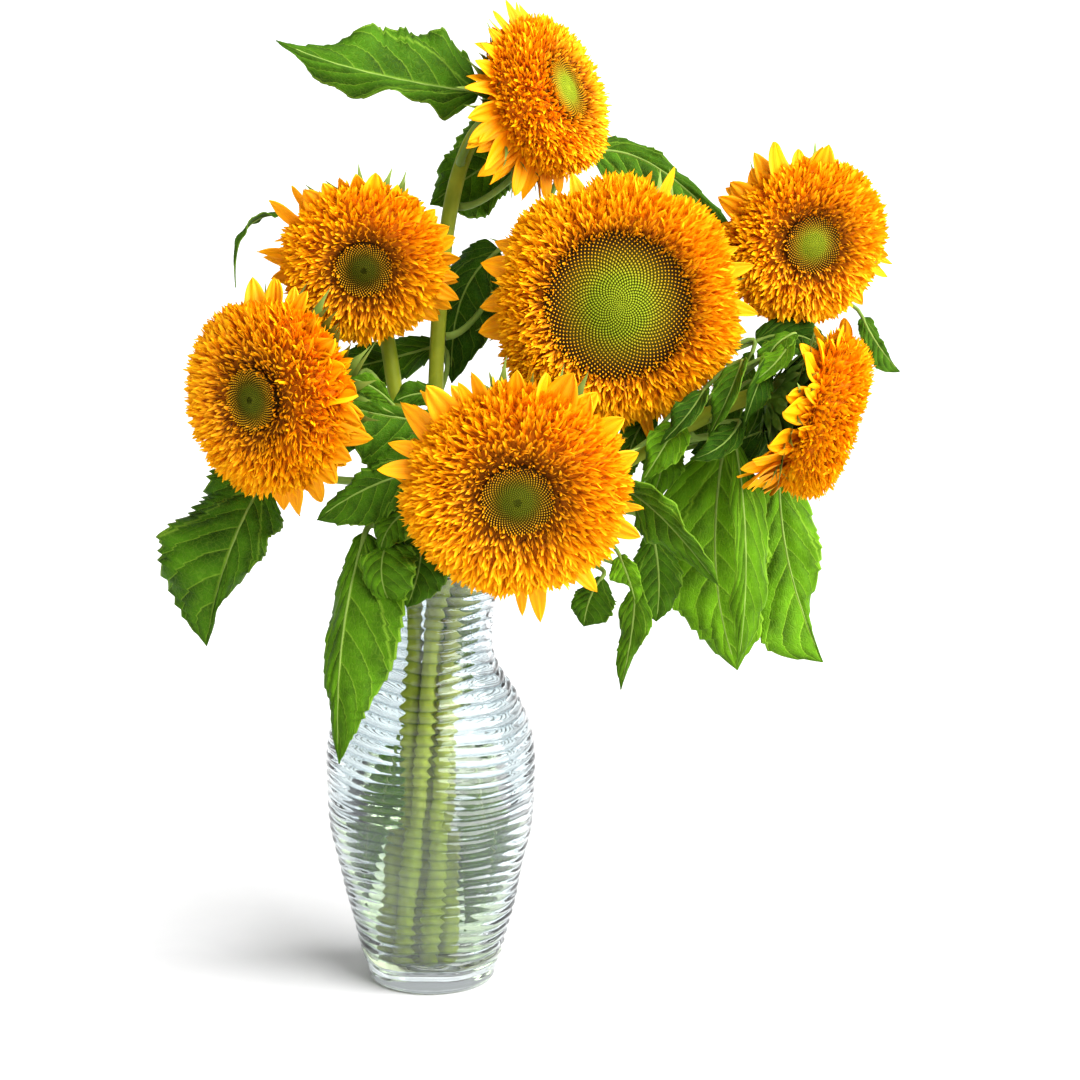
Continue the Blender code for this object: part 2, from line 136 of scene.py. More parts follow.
# Ray petals: angle round the bloom (0 right, 90 top), how far the tip reaches out and back as parts
# of the bloom's radius, and width in millimetres.
RAYS = {
    "top": (
        (62, 1.02, 0.00, 6), (82, 1.08, -0.05, 6), (98, 1.16, 0.00, 5), (112, 1.12, 0.02, 5),
        (126, 1.04, 0.08, 6), (140, 1.12, 0.12, 7), (153, 1.08, 0.22, 8), (166, 1.12, 0.28, 8),
        (180, 1.14, 0.36, 9), (193, 1.14, 0.42, 9), (206, 1.18, 0.46, 9), (219, 1.14, 0.52, 9),
        (232, 1.12, 0.46, 9), (245, 1.10, 0.40, 8), (258, 1.06, 0.34, 8), (272, 1.04, 0.26, 8),
        (288, 1.02, 0.20, 8)),
    "upper_left": (
        (147, 1.26, 0.00, 9), (127, 1.06, 0.00, 11), (114, 1.02, 0.02, 8), (96, 1.02, 0.00, 8),
        (83, 1.05, -0.04, 11), (66, 0.98, 0.00, 9), (49, 0.98, -0.06, 14), (33, 1.00, 0.00, 9),
        (24, 1.04, -0.04, 12), (11, 1.06, -0.02, 8), (1, 1.08, 0.00, 8), (-12, 1.08, 0.02, 7),
        (-22, 1.13, 0.02, 8), (-31, 1.16, 0.02, 8), (-42, 1.10, 0.02, 9), (174, 1.20, 0.06, 7),
        (195, 1.06, 0.14, 9), (-68, 1.04, 0.06, 8)),
    "lower_left": (
        (52, 1.02, -0.10, 9), (38, 1.04, -0.14, 12), (22, 0.98, -0.06, 12), (6, 1.06, -0.02, 16),
        (-6, 1.06, 0.02, 14), (-18, 1.15, 0.00, 12), (-30, 1.06, 0.02, 13), (-44, 1.06, 0.04, 13),
        (-58, 1.08, 0.08, 12), (-71, 1.14, 0.04, 13), (-84, 1.08, 0.10, 11), (107, 1.14, 0.10, 10),
        (90, 1.08, 0.14, 10), (72, 1.06, 0.06, 10)),
    "centre": (
        (162, 1.09, 0.06, 12), (191, 1.07, 0.10, 14), (16, 1.09, 0.02, 8), (0, 1.07, 0.04, 11),
        (67, 1.13, 0.00, 6), (-76, 1.14, 0.00, 6), (-49, 1.07, 0.04, 9), (176, 1.04, 0.10, 12),
        (110, 1.05, 0.04, 9)),
    "upper_right": (
        (116, 1.22, -0.04, 12), (79, 1.12, -0.02, 10), (130, 1.04, 0.08, 13), (146, 1.10, 0.10, 12),
        (156, 1.16, 0.12, 10), (-22, 1.18, 0.04, 5), (-43, 1.08, 0.04, 8), (-11, 1.02, 0.04, 8),
        (98, 1.04, 0.04, 10)),
    "front": (
        (108, 1.13, -0.08, 8), (90, 1.07, -0.04, 9), (76, 1.04, -0.02, 11), (66, 1.13, -0.06, 15),
        (50, 1.02, -0.02, 12), (131, 1.17, -0.02, 13), (118, 1.04, 0.00, 10), (146, 1.20, 0.04, 11),
        (168, 1.16, 0.02, 10), (37, 1.07, -0.02, 11), (-12, 1.06, 0.02, 8), (-23, 1.12, 0.00, 10),
        (-56, 1.15, 0.00, 9), (-80, 1.28, 0.02, 8), (14, 1.04, 0.02, 10)),
    "lower_right": (
        (66, 1.04, -0.02, 11), (84, 1.08, 0.04, 12), (103, 1.06, 0.16, 11), (122, 1.02, 0.34, 11),
        (140, 1.04, 0.46, 12), (158, 0.96, 0.26, 10), (172, 1.02, 0.48, 12), (187, 0.92, 0.24, 9),
        (200, 1.02, 0.54, 12), (216, 1.06, 0.60, 12), (230, 1.08, 0.62, 11), (244, 1.10, 0.50, 10),
        (258, 1.06, 0.34, 9), (276, 1.02, 0.22, 8), (20, 1.04, 0.20, 10), (-16, 1.06, 0.24, 10)),
}

TOOTH_DEPTH = 0.085
SIDE_VEINS = 7.0
VEIN_LEAN = 0.34
VEIN_CURVE = 1.3
OTHER_SIDE = 0.45  # how far the right half's veins are shifted from the left half's
LEAF_THICKNESS = 0.0005
# How many lit and shaded copies of the leaf material there are, from dark to bright: painted light and
# shade, partly the leaves' own greens.
LEAF_LIGHT_AND_TONE_STEPS = 5
STALK_STEPS = 16

# Leaves, in whole millimetres. stem, height: where the stalk joins; base, mid, tip: points on the
# midrib; face: the way the upper side looks, of any length; left, right: half widths at even steps
# from the base, as seen going to the tip; lift: how far each half folds up, in degrees; tone: from 0
# for a dark leaf to 1 for a bright one, partly the leaf's own green and partly painted light and shade.
Leaf = namedtuple("Leaf", "stem height base mid tip face left right lift tone")
LEAVES = {
    "top_left": Leaf("top", 412, (25, 31, 449), (-20, 16, 456), (-72, 0, 475), (5, -75, 65),
        (6, 10, 10, 9, 9, 8, 5), (19, 29, 32, 32, 28, 18, 9), (8, 16), 0.25),
    "top_inner": Leaf("top", 392, (47, 66, 417), (24, 62, 407), (0, 50, 391), (-30, -90, 20),
        (6, 10, 16, 18, 20, 19, 15), (8, 24, 26, 24, 19, 15, 7), (10, 14), 0.55),
    "behind_centre": Leaf("centre", 325, (80, 64, 416), (115, 68, 408), (158, 54, 367), (10, -85, 50),
        (8, 12, 11, 9, 8, 7, 5), (11, 20, 22, 22, 21, 16, 9), (14, 8), 0.3),
    "left_curl": Leaf("upper_left", 345, (-69, 34, 387), (-90, 26, 382), (-95, 10, 354), (-70, -30, 65),
        (2, 5, 7, 7, 6, 4, 2), (2, 5, 6, 6, 5, 4, 2), (40, 10), 0.25),
    "left_large": Leaf("lower_left", 262, (-84, 8, 255), (-98, -7, 226), (-112, -4, 175), (-25, -95, 15),
        (7, 16, 17, 17, 12, 6, 2), (26, 27, 29, 33, 37, 34, 25), (12, 6), 0.3),
    "mid_left": Leaf("lower_left", 238, (-3, -42, 270), (-26, -53, 266), (-52, -50, 249), (-25, -85, 30),
        (4, 9, 14, 16, 17, 15, 10), (12, 19, 16, 12, 9, 7, 5), (10, 16), 0.3),
    "mid_crest": Leaf("upper_left", 262, (10, -24, 293), (-12, -38, 297), (-42, -42, 304), (10, -90, 40),
        (8, 12, 18, 20, 23, 24, 16), (4, 6, 7, 8, 7, 8, 6), (8, 30), 0.2),
    "behind_stem": Leaf("upper_left", 282, (3, 36, 321), (-26, 38, 313), (-51, 32, 308), (0, -95, 30),
        (5, 7, 11, 13, 14, 12, 7), (5, 8, 10, 11, 11, 10, 5), (10, 6), 0.15),
    "centre_dark": Leaf("top", 328, (35, 42, 369), (16, 38, 344), (11, 30, 303), (-25, -95, 10),
        (8, 16, 21, 23, 24, 20, 12), (8, 12, 14, 12, 12, 10, 6), (12, 12), 0.1),
    "neck_curl": Leaf("front", 232, (-16, -50, 244), (-20, -66, 229), (-16, -64, 210), (-35, -90, 20),
        (3, 9, 16, 18, 20, 18, 12), (2, 6, 9, 11, 11, 10, 4), (16, 30), 0.45),
    "neck_round": Leaf("front", 222, (-3, -40, 239), (-3, -49, 226), (-9, -51, 206), (5, -98, 15),
        (3, 5, 12, 14, 15, 13, 8), (6, 10, 15, 15, 15, 15, 12), (6, 6), 0.15),
    "over_vase": Leaf("lower_left", 226, (-29, -46, 242), (-40, -66, 191), (-42, -64, 131), (-10, -99, 5),
        (7, 22, 30, 30, 27, 19, 10), (4, 6, 8, 9, 9, 7, 4), (20, 4), 0.4),
    "right_big": Leaf("lower_right", 286, (147, 2, 276), (143, -7, 216), (155, -2, 162), (5, -98, 15),
        (9, 21, 25, 27, 25, 22, 18), (7, 23, 28, 28, 28, 18, 10), (10, 6), 1.0),
    "right_far": Leaf("upper_right", 275, (176, 22, 264), (181, 13, 215), (199, 10, 163), (15, -98, 10),
        (6, 13, 18, 19, 17, 9, 2), (6, 13, 17, 20, 23, 25, 24), (6, 14), 0.65),
    "right_narrow": Leaf("lower_right", 290, (150, -30, 284), (155, -50, 226), (152, -40, 174),
        (45, -88, 10), (3, 9, 13, 14, 14, 12, 8), (3, 6, 8, 8, 7, 6, 3), (12, 30), 0.85),
    "right_fold": Leaf("lower_right", 246, (93, -44, 265), (117, -56, 249), (142, -52, 217),
        (-30, -85, -35), (8, 13, 15, 15, 13, 10, 6), (8, 13, 16, 17, 16, 10, 5), (35, 8), 0.5),
    "right_light": Leaf("lower_right", 278, (123, 0, 285), (117, -8, 271), (111, -13, 250), (10, -97, 10),
        (4, 6, 9, 10, 11, 9, 5), (4, 6, 11, 14, 11, 9, 5), (10, 10), 0.8),
    "low_small": Leaf("lower_right", 234, (86, -30, 216), (80, -36, 207), (77, -37, 193), (-10, -97, 20),
        (4, 9, 12, 13, 13, 13, 10), (2, 3, 5, 8, 8, 8, 5), (14, 6), 0.15),
    "low_dark": Leaf("centre", 234, (111, -14, 235), (114, -21, 215), (113, -22, 192), (10, -98, 10),
        (4, 6, 10, 12, 12, 10, 7), (5, 8, 12, 13, 13, 12, 10), (6, 14), 0.25),
    "low_hang": Leaf("lower_right", 240, (102, -46, 214), (100, -52, 193), (95, -48, 164), (-20, -97, 5),
        (5, 7, 11, 11, 7, 3, 1), (3, 6, 8, 7, 6, 6, 4), (34, 6), 0.4),
    "curl_low": Leaf("upper_right", 285, (162, 22, 320), (151, 16, 298), (138, 12, 278), (-40, -85, 30),
        (2, 7, 14, 15, 14, 11, 6), (3, 6, 9, 9, 10, 9, 7), (34, 20), 0.25),
    "curl_high": Leaf("lower_right", 300, (180, 0, 332), (169, -12, 325), (166, -12, 309), (-50, -75, 40),
        (5, 7, 11, 12, 9, 4, 3), (4, 6, 7, 7, 6, 6, 2), (30, 24), 0.5),
    "right_tip": Leaf("upper_right", 345, (221, 62, 332), (228, 54, 319), (239, 48, 306), (20, -95, 25),
        (4, 5, 5, 4, 3, 2, 1), (3, 4, 6, 7, 8, 9, 7), (8, 14), 0.35),
}

# Small leaves that fill the gaps, and those in the vase. The frame has no solid for these.
SMALL_LEAVES = {
    "neck_top": Leaf("front", 238, (-1, -44, 255), (-15, -57, 249), (-21, -60, 235), (-20, -90, 40),
        (4, 7, 10, 12, 12, 10, 6), (3, 5, 8, 8, 8, 7, 4), (30, 10), 0.55),
    "mid_lobe": Leaf("upper_left", 272, (-16, -30, 302), (-25, -35, 311), (-36, -36, 316), (10, -90, 30),
        (2, 4, 5, 5, 5, 5, 3), (1, 2, 4, 5, 5, 6, 3), (10, 20), 0.5),
    "mid_back": Leaf("top", 290, (8, -6, 301), (-4, -9, 304), (-17, -12, 300), (0, -95, 20),
        (3, 5, 6, 6, 6, 5, 3), (3, 4, 5, 6, 7, 7, 3), (10, 20), 0.2),
    "right_husk": Leaf("lower_right", 300, (141, 14, 299), (134, 9, 288), (129, 8, 275), (-30, -90, 20),
        (4, 6, 8, 9, 10, 9, 5), (2, 3, 4, 5, 5, 5, 3), (30, 20), 0.3),
    "right_round": Leaf("upper_right", 318, (187, 30, 305), (178, 24, 294), (168, 18, 281), (20, -90, 20),
        (3, 5, 7, 8, 8, 7, 4), (3, 4, 7, 10, 9, 9, 5), (20, 10), 0.1),
    "right_strip": Leaf("lower_right", 300, (162, 0, 307), (163, -7, 295), (157, -8, 282), (20, -90, 20),
        (1, 1, 2, 2, 3, 3, 1), (1, 3, 5, 6, 6, 5, 3), (10, 40), 0.6),
    "low_curl": Leaf("lower_right", 246, (94, -58, 233), (98, -61, 223), (102, -56, 209), (-20, -95, 10),
        (3, 4, 6, 6, 6, 5, 4), (4, 6, 8, 9, 6, 2, 1), (20, 20), 0.9),
    "low_back": Leaf("centre", 240, (118, 4, 238), (123, -1, 218), (120, -4, 199), (10, -95, 10),
        (3, 5, 9, 11, 11, 10, 4), (6, 9, 11, 12, 12, 12, 8), (8, 8), 0.1),
    "mid_deep": Leaf("upper_left", 258, (21, 10, 283), (-1, 4, 269), (-22, -2, 249), (-10, -95, 30),
        (3, 5, 8, 11, 12, 11, 9), (6, 9, 13, 16, 18, 13, 7), (6, 6), 0.1),
    "right_deep": Leaf("centre", 268, (181, 20, 286), (158, 14, 278), (131, 10, 271), (0, -95, 30),
        (4, 6, 10, 14, 14, 13, 8), (5, 9, 13, 13, 13, 11, 6), (6, 6), 0.1),
    "left_deep": Leaf("lower_left", 262, (-34, 10, 310), (-40, 4, 291), (-46, -2, 269), (-10, -95, 20),
        (4, 8, 14, 15, 16, 14, 7), (3, 5, 7, 8, 8, 7, 4), (6, 6), 0.0),
    "cover_low": Leaf("lower_right", 283, (135, -34, 309), (126, -50, 300), (113, -52, 286),
        (-30, -90, 30), (4, 7, 9, 9, 8, 6, 3), (4, 7, 8, 9, 8, 5, 3), (50, 12), 0.1),
    "cover_mid": Leaf("lower_right", 294, (154, -24, 322), (146, -48, 309), (136, -50, 289),
        (-30, -90, 30), (4, 9, 11, 12, 10, 7, 3), (4, 8, 10, 10, 8, 6, 3), (58, 8), 0.3),
    "cover_right": Leaf("lower_right", 298, (168, -20, 324), (159, -46, 313), (153, -46, 293),
        (30, -90, 20), (3, 6, 8, 9, 8, 6, 3), (3, 7, 9, 9, 8, 5, 2), (12, 52), 0.05),
    "cover_high": Leaf("lower_right", 300, (178, -10, 329), (167, -40, 322), (156, -48, 315),
        (-20, -90, 40), (3, 6, 8, 8, 7, 5, 3), (3, 6, 8, 8, 6, 4, 2), (40, 20), 0.8),
    "cover_left": Leaf("lower_right", 272, (122, -30, 292), (114, -46, 282), (104, -50, 267),
        (-20, -90, 30), (5, 9, 11, 11, 9, 6, 3), (5, 8, 10, 10, 8, 5, 3), (16, 24), 0.7),
    "sunken_right": Leaf("lower_right", 108, (24, -10, 104), (26, -12, 72), (14, -14, 34), (10, -100, 10),
        (6, 11, 13, 13, 12, 9, 5), (6, 11, 13, 13, 12, 9, 5), (8, 8), 0.75),
    "sunken_left": Leaf("lower_left", 126, (-18, -10, 118), (-26, -12, 84), (-26, -8, 45),
        (-10, -100, 10), (5, 9, 11, 11, 9, 6, 3), (5, 8, 10, 11, 9, 6, 3), (10, 10), 1.0),
    "sunken_back": Leaf("upper_right", 100, (2, 18, 92), (2, 22, 62), (6, 16, 26), (0, -100, 10),
        (4, 9, 13, 14, 11, 8, 4), (4, 8, 12, 14, 13, 8, 4), (6, 6), 0.75),
    "sunken_neck": Leaf("top", 222, (13, 8, 214), (12, 10, 182), (6, 12, 130), (0, -100, 0),
        (6, 9, 10, 11, 11, 10, 6), (6, 9, 10, 11, 11, 10, 6), (4, 4), 1.0),
    "right_shade": Leaf("upper_right", 318, (164, 26, 325), (184, 26, 328), (203, 22, 318), (0, -95, 20),
        (4, 7, 9, 9, 9, 7, 4), (4, 8, 10, 11, 10, 8, 4), (14, 10), 0.0),
    "nook_dark": Leaf("centre", 285, (112, -6, 296), (101, -12, 280), (96, -16, 256), (10, -95, 20),
        (4, 7, 9, 9, 8, 6, 4), (3, 6, 8, 9, 9, 7, 4), (16, 24), 0.15),
    "cover_fold": Leaf("lower_right", 296, (152, -36, 294), (142, -50, 285), (128, -52, 279),
        (-10, -90, 40), (3, 6, 8, 8, 7, 5, 3), (3, 6, 8, 9, 8, 5, 3), (34, 26), 0.05),
}

# The studio is white near the horizon, for a plain backdrop, and dimmer above it. Heights are sines.
WHITE_UP_TO = 0.14
DIM_FROM = 0.26
SKY_DIM = 0.52
SUN_STRENGTH = 9.4
SUN_SPREAD = math.radians(72)
SUN_WAY = (-0.72, 0.38, -0.60)
GROUND_SIZE = 40.0
GROUND_DROP = 0.0004

VIEW_TARGET = Vector((0.0555, 0.0, 0.2285))
VIEW_DISTANCE = 1.5
VIEW_ELEVATION = math.radians(12)
VIEW_WIDTH = 0.54  # how much the picture shows at the target
SENSOR = 36

# ---------------------------------------------------------------- mesh and curve helpers


def unit(vectors):
    """Vectors along the last axis at length 1."""
    vectors = np.asarray(vectors, float)
    return vectors / np.maximum(np.linalg.norm(vectors, axis=-1, keepdims=True), 1e-12)


def add_piece(name, points, faces, material, replaced=(), uv=None, smooth=True):
    """A mesh object that rides on the body, takes a slot's finish and stands for CAD nodes."""
    mesh = bpy.data.meshes.new(name)
    mesh.from_pydata(np.asarray(points, float).tolist(), [], faces)
    if uv is not None:
        layer = mesh.uv_layers.new(name=UV)
        corner = np.zeros(len(mesh.loops), np.int32)
        mesh.loops.foreach_get("vertex_index", corner)
        layer.data.foreach_set("uv", np.asarray(uv, np.float32)[corner].ravel())
    mesh.materials.append(material)
    mesh.polygons.foreach_set("use_smooth", [smooth] * len(mesh.polygons))
    mesh.update()
    piece = bpy.data.objects.new(name, mesh)
    bpy.context.scene.collection.objects.link(piece)
    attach(piece, BODY)
    if replaced:
        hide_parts(*replaced)
    return piece


def grid_faces(rows, columns, wrap=False, start=0):
    """Quads between rows of verts; wrap joins each row's end to its start."""
    row = np.arange(rows - 1)[:, None] * columns
    column = np.arange(columns if wrap else columns - 1)[None, :]
    ahead = (column + 1) % columns
    quads = np.stack([row + column, row + ahead, row + columns + ahead, row + columns + column], -1)
    return (quads.reshape(-1, 4) + start).tolist()


def smooth_curve(points, steps):
    """Reads steps + 1 points from the Catmull-Rom curve through the given ones."""
    knots = np.asarray(points, float)
    knots = np.vstack([2 * knots[0] - knots[1], knots, 2 * knots[-1] - knots[-2]])
    place = np.linspace(0, len(points) - 1, steps + 1)
    span = np.minimum(place.astype(int), len(points) - 2)
    t = (place - span)[:, None]
    a, b, c, d = (knots[span + shift] for shift in range(4))
    square = 2 * a - 5 * b + 4 * c - d
    cube = 3 * b - a - 3 * c + d
    return 0.5 * (2 * b + (c - a) * t + square * t**2 + cube * t**3)


def bezier(start, pull_start, pull_end, end, t):
    """Points on a cubic Bezier curve."""
    t = np.asarray(t, float)[:, None]
    u = 1 - t
    return u**3 * start + 3 * u * u * t * pull_start + 3 * u * t * t * pull_end + t**3 * end


def closed_rings(rows, sides):
    """Faces between rings of verts, and over the first and the last ring."""
    faces = grid_faces(rows, sides, wrap=True)
    faces.append(list(range(sides))[::-1])
    faces.append(list(range((rows - 1) * sides, rows * sides)))
    return faces


def turned(outline, sides):
    """Verts and faces of a shape turned about Z from (radius, height) rows."""
    outline = np.asarray(outline, float)
    angle = np.linspace(0, math.tau, sides, endpoint=False)
    points = np.stack([
        outline[:, :1] * np.cos(angle),
        outline[:, :1] * np.sin(angle),
        np.repeat(outline[:, 1:], sides, axis=1),
    ], -1).reshape(-1, 3)
    return points, closed_rings(len(outline), sides)


def tube(points, radii, sides):
    """Verts and faces of a round tube along points. Radii are per point, or per point and side."""
    points = np.asarray(points, float)
    ahead = unit(np.gradient(points, axis=0))
    side = np.zeros_like(points)
    last = np.array([1.0, 0.0, 0.0])
    for row, along in enumerate(ahead):
        last = last - last.dot(along) * along
        last = last / np.linalg.norm(last)
        side[row] = last
    other = np.cross(ahead, side)
    angle = np.linspace(0, math.tau, sides, endpoint=False)
    radii = np.asarray(radii, float).reshape(len(points), -1)
    ring = side[:, None] * np.cos(angle)[None, :, None] + other[:, None] * np.sin(angle)[None, :, None]
    verts = (points[:, None] + ring * radii[..., None]).reshape(-1, 3)
    return verts, closed_rings(len(points), sides)


def bloom_axes(bloom):
    """A bloom's centre and its three axes as rows; the last is the way it faces."""
    turn = Vector(bloom.facing).to_track_quat("Z", "Y").to_matrix()
    return np.array(bloom.centre), np.array([turn.col[axis][:] for axis in range(3)])


def to_world(bloom, points):
    """Points given on a bloom's own axes, in the scene."""
    centre, axes = bloom_axes(bloom)
    return centre + np.asarray(points, float) @ axes


# ---------------------------------------------------------------- materials

BLACK = (0.0, 0.0, 0.0)
WHITE = (1.0, 1.0, 1.0)


class Nodes:
    """Short ways to add nodes to a node tree; each gives the new node's output."""

    def __init__(self, tree):
        self.nodes, self.links = tree.nodes, tree.links

    def join(self, value, socket):
        """Sets a socket to a number or colour, or links it to another socket."""
        if isinstance(value, (int, float)):
            socket.default_value = value
        elif isinstance(value, tuple):
            socket.default_value = (*value, 1.0)
        else:
            self.links.new(value, socket)

    def math(self, kind, *values, clamp=False):
        node = self.nodes.new("ShaderNodeMath")
        node.operation = kind
        node.use_clamp = clamp
        for socket, value in zip(node.inputs, values):
            self.join(value, socket)
        return node.outputs[0]

    def near(self, value, reach):
        """1 where the value is 0, falling to 0 where it has grown to reach."""
        share = self.math("DIVIDE", self.math("ABSOLUTE", value), reach)
        return self.math("SUBTRACT", 1.0, share, clamp=True)

    def mix(self, factor, low, high, blend="MIX"):
        node = self.nodes.new("ShaderNodeMix")
        node.data_type = "RGBA"
        node.blend_type = blend
        for place, value in ((0, factor), (6, low), (7, high)):
            self.join(value, node.inputs[place])
        return node.outputs[2]

    def ramp(self, factor, stops):
        """A colour ramp through (place, colour) stops."""
        node = self.nodes.new("ShaderNodeValToRGB")
        elements = node.color_ramp.elements
        while len(elements) < len(stops):
            elements.new(0.5)
        for element, (place, colour) in zip(elements, stops):
            element.position = place
            element.color = (*colour, 1.0)
        self.links.new(factor, node.inputs[0])
        return node.outputs[0]

    def split(self, vector):
        """The three parts of a vector."""
        node = self.nodes.new("ShaderNodeSeparateXYZ")
        self.links.new(vector, node.inputs[0])
        return node.outputs

    def uv_parts(self):
        """The pieces' own map, and its u and v."""
        layout = self.nodes.new("ShaderNodeUVMap")
        layout.uv_map = UV
        parts = self.split(layout.outputs[0])
        return layout.outputs[0], parts[0], parts[1]

    def place(self):
        """Where a point is on the object."""
        return self.nodes.new("ShaderNodeTexCoord").outputs["Object"]

    def noise(self, vector, scale, detail=3.0):
        node = self.nodes.new("ShaderNodeTexNoise")
        node.inputs["Scale"].default_value = scale
        node.inputs["Detail"].default_value = detail
        self.links.new(vector, node.inputs["Vector"])
        return node.outputs[0]

    def stretched(self, vector, scale):
        node = self.nodes.new("ShaderNodeMapping")
        node.inputs["Scale"].default_value = scale
        self.links.new(vector, node.inputs["Vector"])
        return node.outputs[0]


class Look(Nodes):
    """A new material and its node tree."""

    def __init__(self, name, roughness, specular):
        self.material = bpy.data.materials.new(name)
        self.material.use_nodes = True
        super().__init__(self.material.node_tree)
        self.shader = self.nodes["Principled BSDF"]
        self.shader.inputs["Roughness"].default_value = roughness
        self.shader.inputs["Specular IOR Level"].default_value = specular

    def colour(self, value):
        self.join(value, self.shader.inputs["Base Color"])

    def bump(self, height, strength, distance):
        node = self.nodes.new("ShaderNodeBump")
        node.inputs["Strength"].default_value = strength
        node.inputs["Distance"].default_value = distance
        self.links.new(height, node.inputs["Height"])
        self.links.new(node.outputs[0], self.shader.inputs["Normal"])

    def clear(self, ior):
        """Makes the material let light through."""
        self.shader.inputs["Transmission Weight"].default_value = 1.0
        self.shader.inputs["IOR"].default_value = ior


def scaled(colour, share):
    """A colour made darker or lighter."""
    return tuple(share * part for part in colour)


def between(first, last, share):
    """A colour part of the way from the first to the last."""
    return tuple(low + (high - low) * share for low, high in zip(first, last))


def floret_material():
    """Golden florets with painted shade at the roots: u runs from the eye out to the rim, v from root to
    tip.
    """
    look = Look("floret_gold", 0.55, 0.08)
    layout, u, v = look.uv_parts()
    # The roots are darker orange than the tips: partly the florets' own colour, partly painted shade
    # between them.
    outer = look.ramp(v, ((0.0, (0.66, 0.15, 0.001)), (0.4, (0.92, 0.325, 0.001)),
                          (0.75, (0.98, 0.44, 0.001)), (1.0, (1.0, 0.54, 0.004))))
    # Painted shade: near the eye the florets' roots are painted near black, for the shade deep between
    # them.
    inner = look.ramp(v, ((0.2, (0.040, 0.010, 0.001)), (0.5, (0.42, 0.13, 0.001)),
                          (0.75, (0.86, 0.34, 0.003)), (1.0, (0.96, 0.50, 0.015))))
    reach = look.ramp(u, ((0.02, BLACK), (0.20, WHITE)))
    speckle = look.noise(look.stretched(layout, (230.0, 3.0, 1.0)), 1.0, 1.0)
    shade = look.ramp(speckle, ((0.3, (0.90, 0.80, 0.6)), (0.7, WHITE)))
    look.colour(look.mix(1.0, look.mix(reach, inner, outer), shade, "MULTIPLY"))
    return look.material


def ray_material():
    """Bright yellow ray petals with lengthwise pleats, painted darker in the grooves as painted shade;
    orange at the root.
    """
    look = Look("ray_yellow", 0.45, 0.10)
    layout, _, v = look.uv_parts()
    along = look.ramp(v, ((0.0, (0.84, 0.22, 0.001)), (0.4, (0.95, 0.34, 0.001)),
                          (1.0, (0.97, 0.44, 0.001))))
    pleats_and_painted_shade = look.noise(look.stretched(layout, (26.0, 1.2, 1.0)), 1.0, 2.0)
    # Painted shade: darker and more orange where the pleats sink.
    shade = look.ramp(pleats_and_painted_shade, ((0.25, (0.80, 0.70, 0.55)), (0.65, WHITE)))
    look.colour(look.mix(1.0, along, shade, "MULTIPLY"))
    look.bump(pleats_and_painted_shade, 0.35, 0.0006)
    return look.material


def painted_shade_bed_material():
    """The bed that the florets stand in, painted shade: darker orange than the florets and near black
    towards the eye.
    """
    look = Look("floret_painted_shade_bed", 0.8, 0.1)
    layout, u, _ = look.uv_parts()
    grain = look.noise(look.stretched(layout, (30.0, 260.0, 1.0)), 1.0)
    outer = look.ramp(grain, ((0.3, (0.36, 0.08, 0.001)), (0.7, (0.66, 0.19, 0.001))))
    # Painted shade: the bed goes near black towards the eye.
    shade = look.ramp(u, ((0.03, (0.04, 0.02, 0.004)), (0.22, WHITE)))
    look.colour(look.mix(1.0, outer, shade, "MULTIPLY"))
    return look.material


def disc_material(name, tint):
    """The eye's buds with painted shade at their roots: u runs from its middle to its edge, v from a
    bud's root to its tip.
    """
    look = Look(name, 0.6, 0.05)
    _, u, v = look.uv_parts()
    core = between((0.30, 0.37, 0.015), (0.052, 0.050, 0.002), tint)
    middle = between((0.46, 0.37, 0.018), (0.11, 0.07, 0.003), tint)
    tips = look.ramp(u, ((0.0, scaled(core, 1 - 0.75 * tint)), (0.16, core), (0.40, core),
                         (0.60, middle), (0.80, (0.72, 0.38, 0.012)), (1.0, (0.88, 0.42, 0.008))))
    # Painted shade: the buds' roots, and the eye's bed under them, are painted much darker than the tips.
    roots = look.ramp(u, ((0.0, scaled(core, 0.45 - 0.35 * tint)), (0.36, scaled(core, 0.4)),
                          (0.60, scaled(middle, 0.27)), (0.85, (0.045, 0.020, 0.003))))
    height = look.ramp(v, ((0.25, BLACK), (0.9, WHITE)))
    look.colour(look.mix(height, roots, tips))
    return look.material


def green_material(name, low, high, scale, vase_colour=None):
    """Plain green tissue with soft mottling and lengthwise grain; it may be paler inside the vase."""
    look = Look(name, 0.55, 0.12)
    place = look.place()
    mottle = look.noise(place, scale)
    grain = look.noise(look.stretched(place, (1.0, 1.0, 0.12)), scale * 14)
    colour = look.ramp(mottle, ((0.3, low), (0.7, high)))
    if vase_colour:
        rise = look.math("SUBTRACT", look.split(place)[2], NECK_HEIGHT)
        outside = look.math("DIVIDE", rise, 0.05, clamp=True)
        pale = look.ramp(mottle, ((0.3, scaled(vase_colour, 0.6)), (0.7, vase_colour)))
        colour = look.mix(outside, pale, colour)
    look.colour(colour)
    look.bump(grain, 0.3, 0.0004)
    return look.material


def bract_material():
    """Green bracts that fade to a paler green at the tips."""
    look = Look("bract_green", 0.65, 0.1)
    _, _, v = look.uv_parts()
    mottle = look.noise(look.place(), 160.0)
    green = look.ramp(mottle, ((0.3, (0.035, 0.085, 0.006)), (0.7, (0.09, 0.18, 0.015))))
    fade = look.ramp(v, ((0.35, BLACK), (0.75, WHITE)))
    look.colour(look.mix(fade, green, (0.20, 0.29, 0.05)))
    return look.material


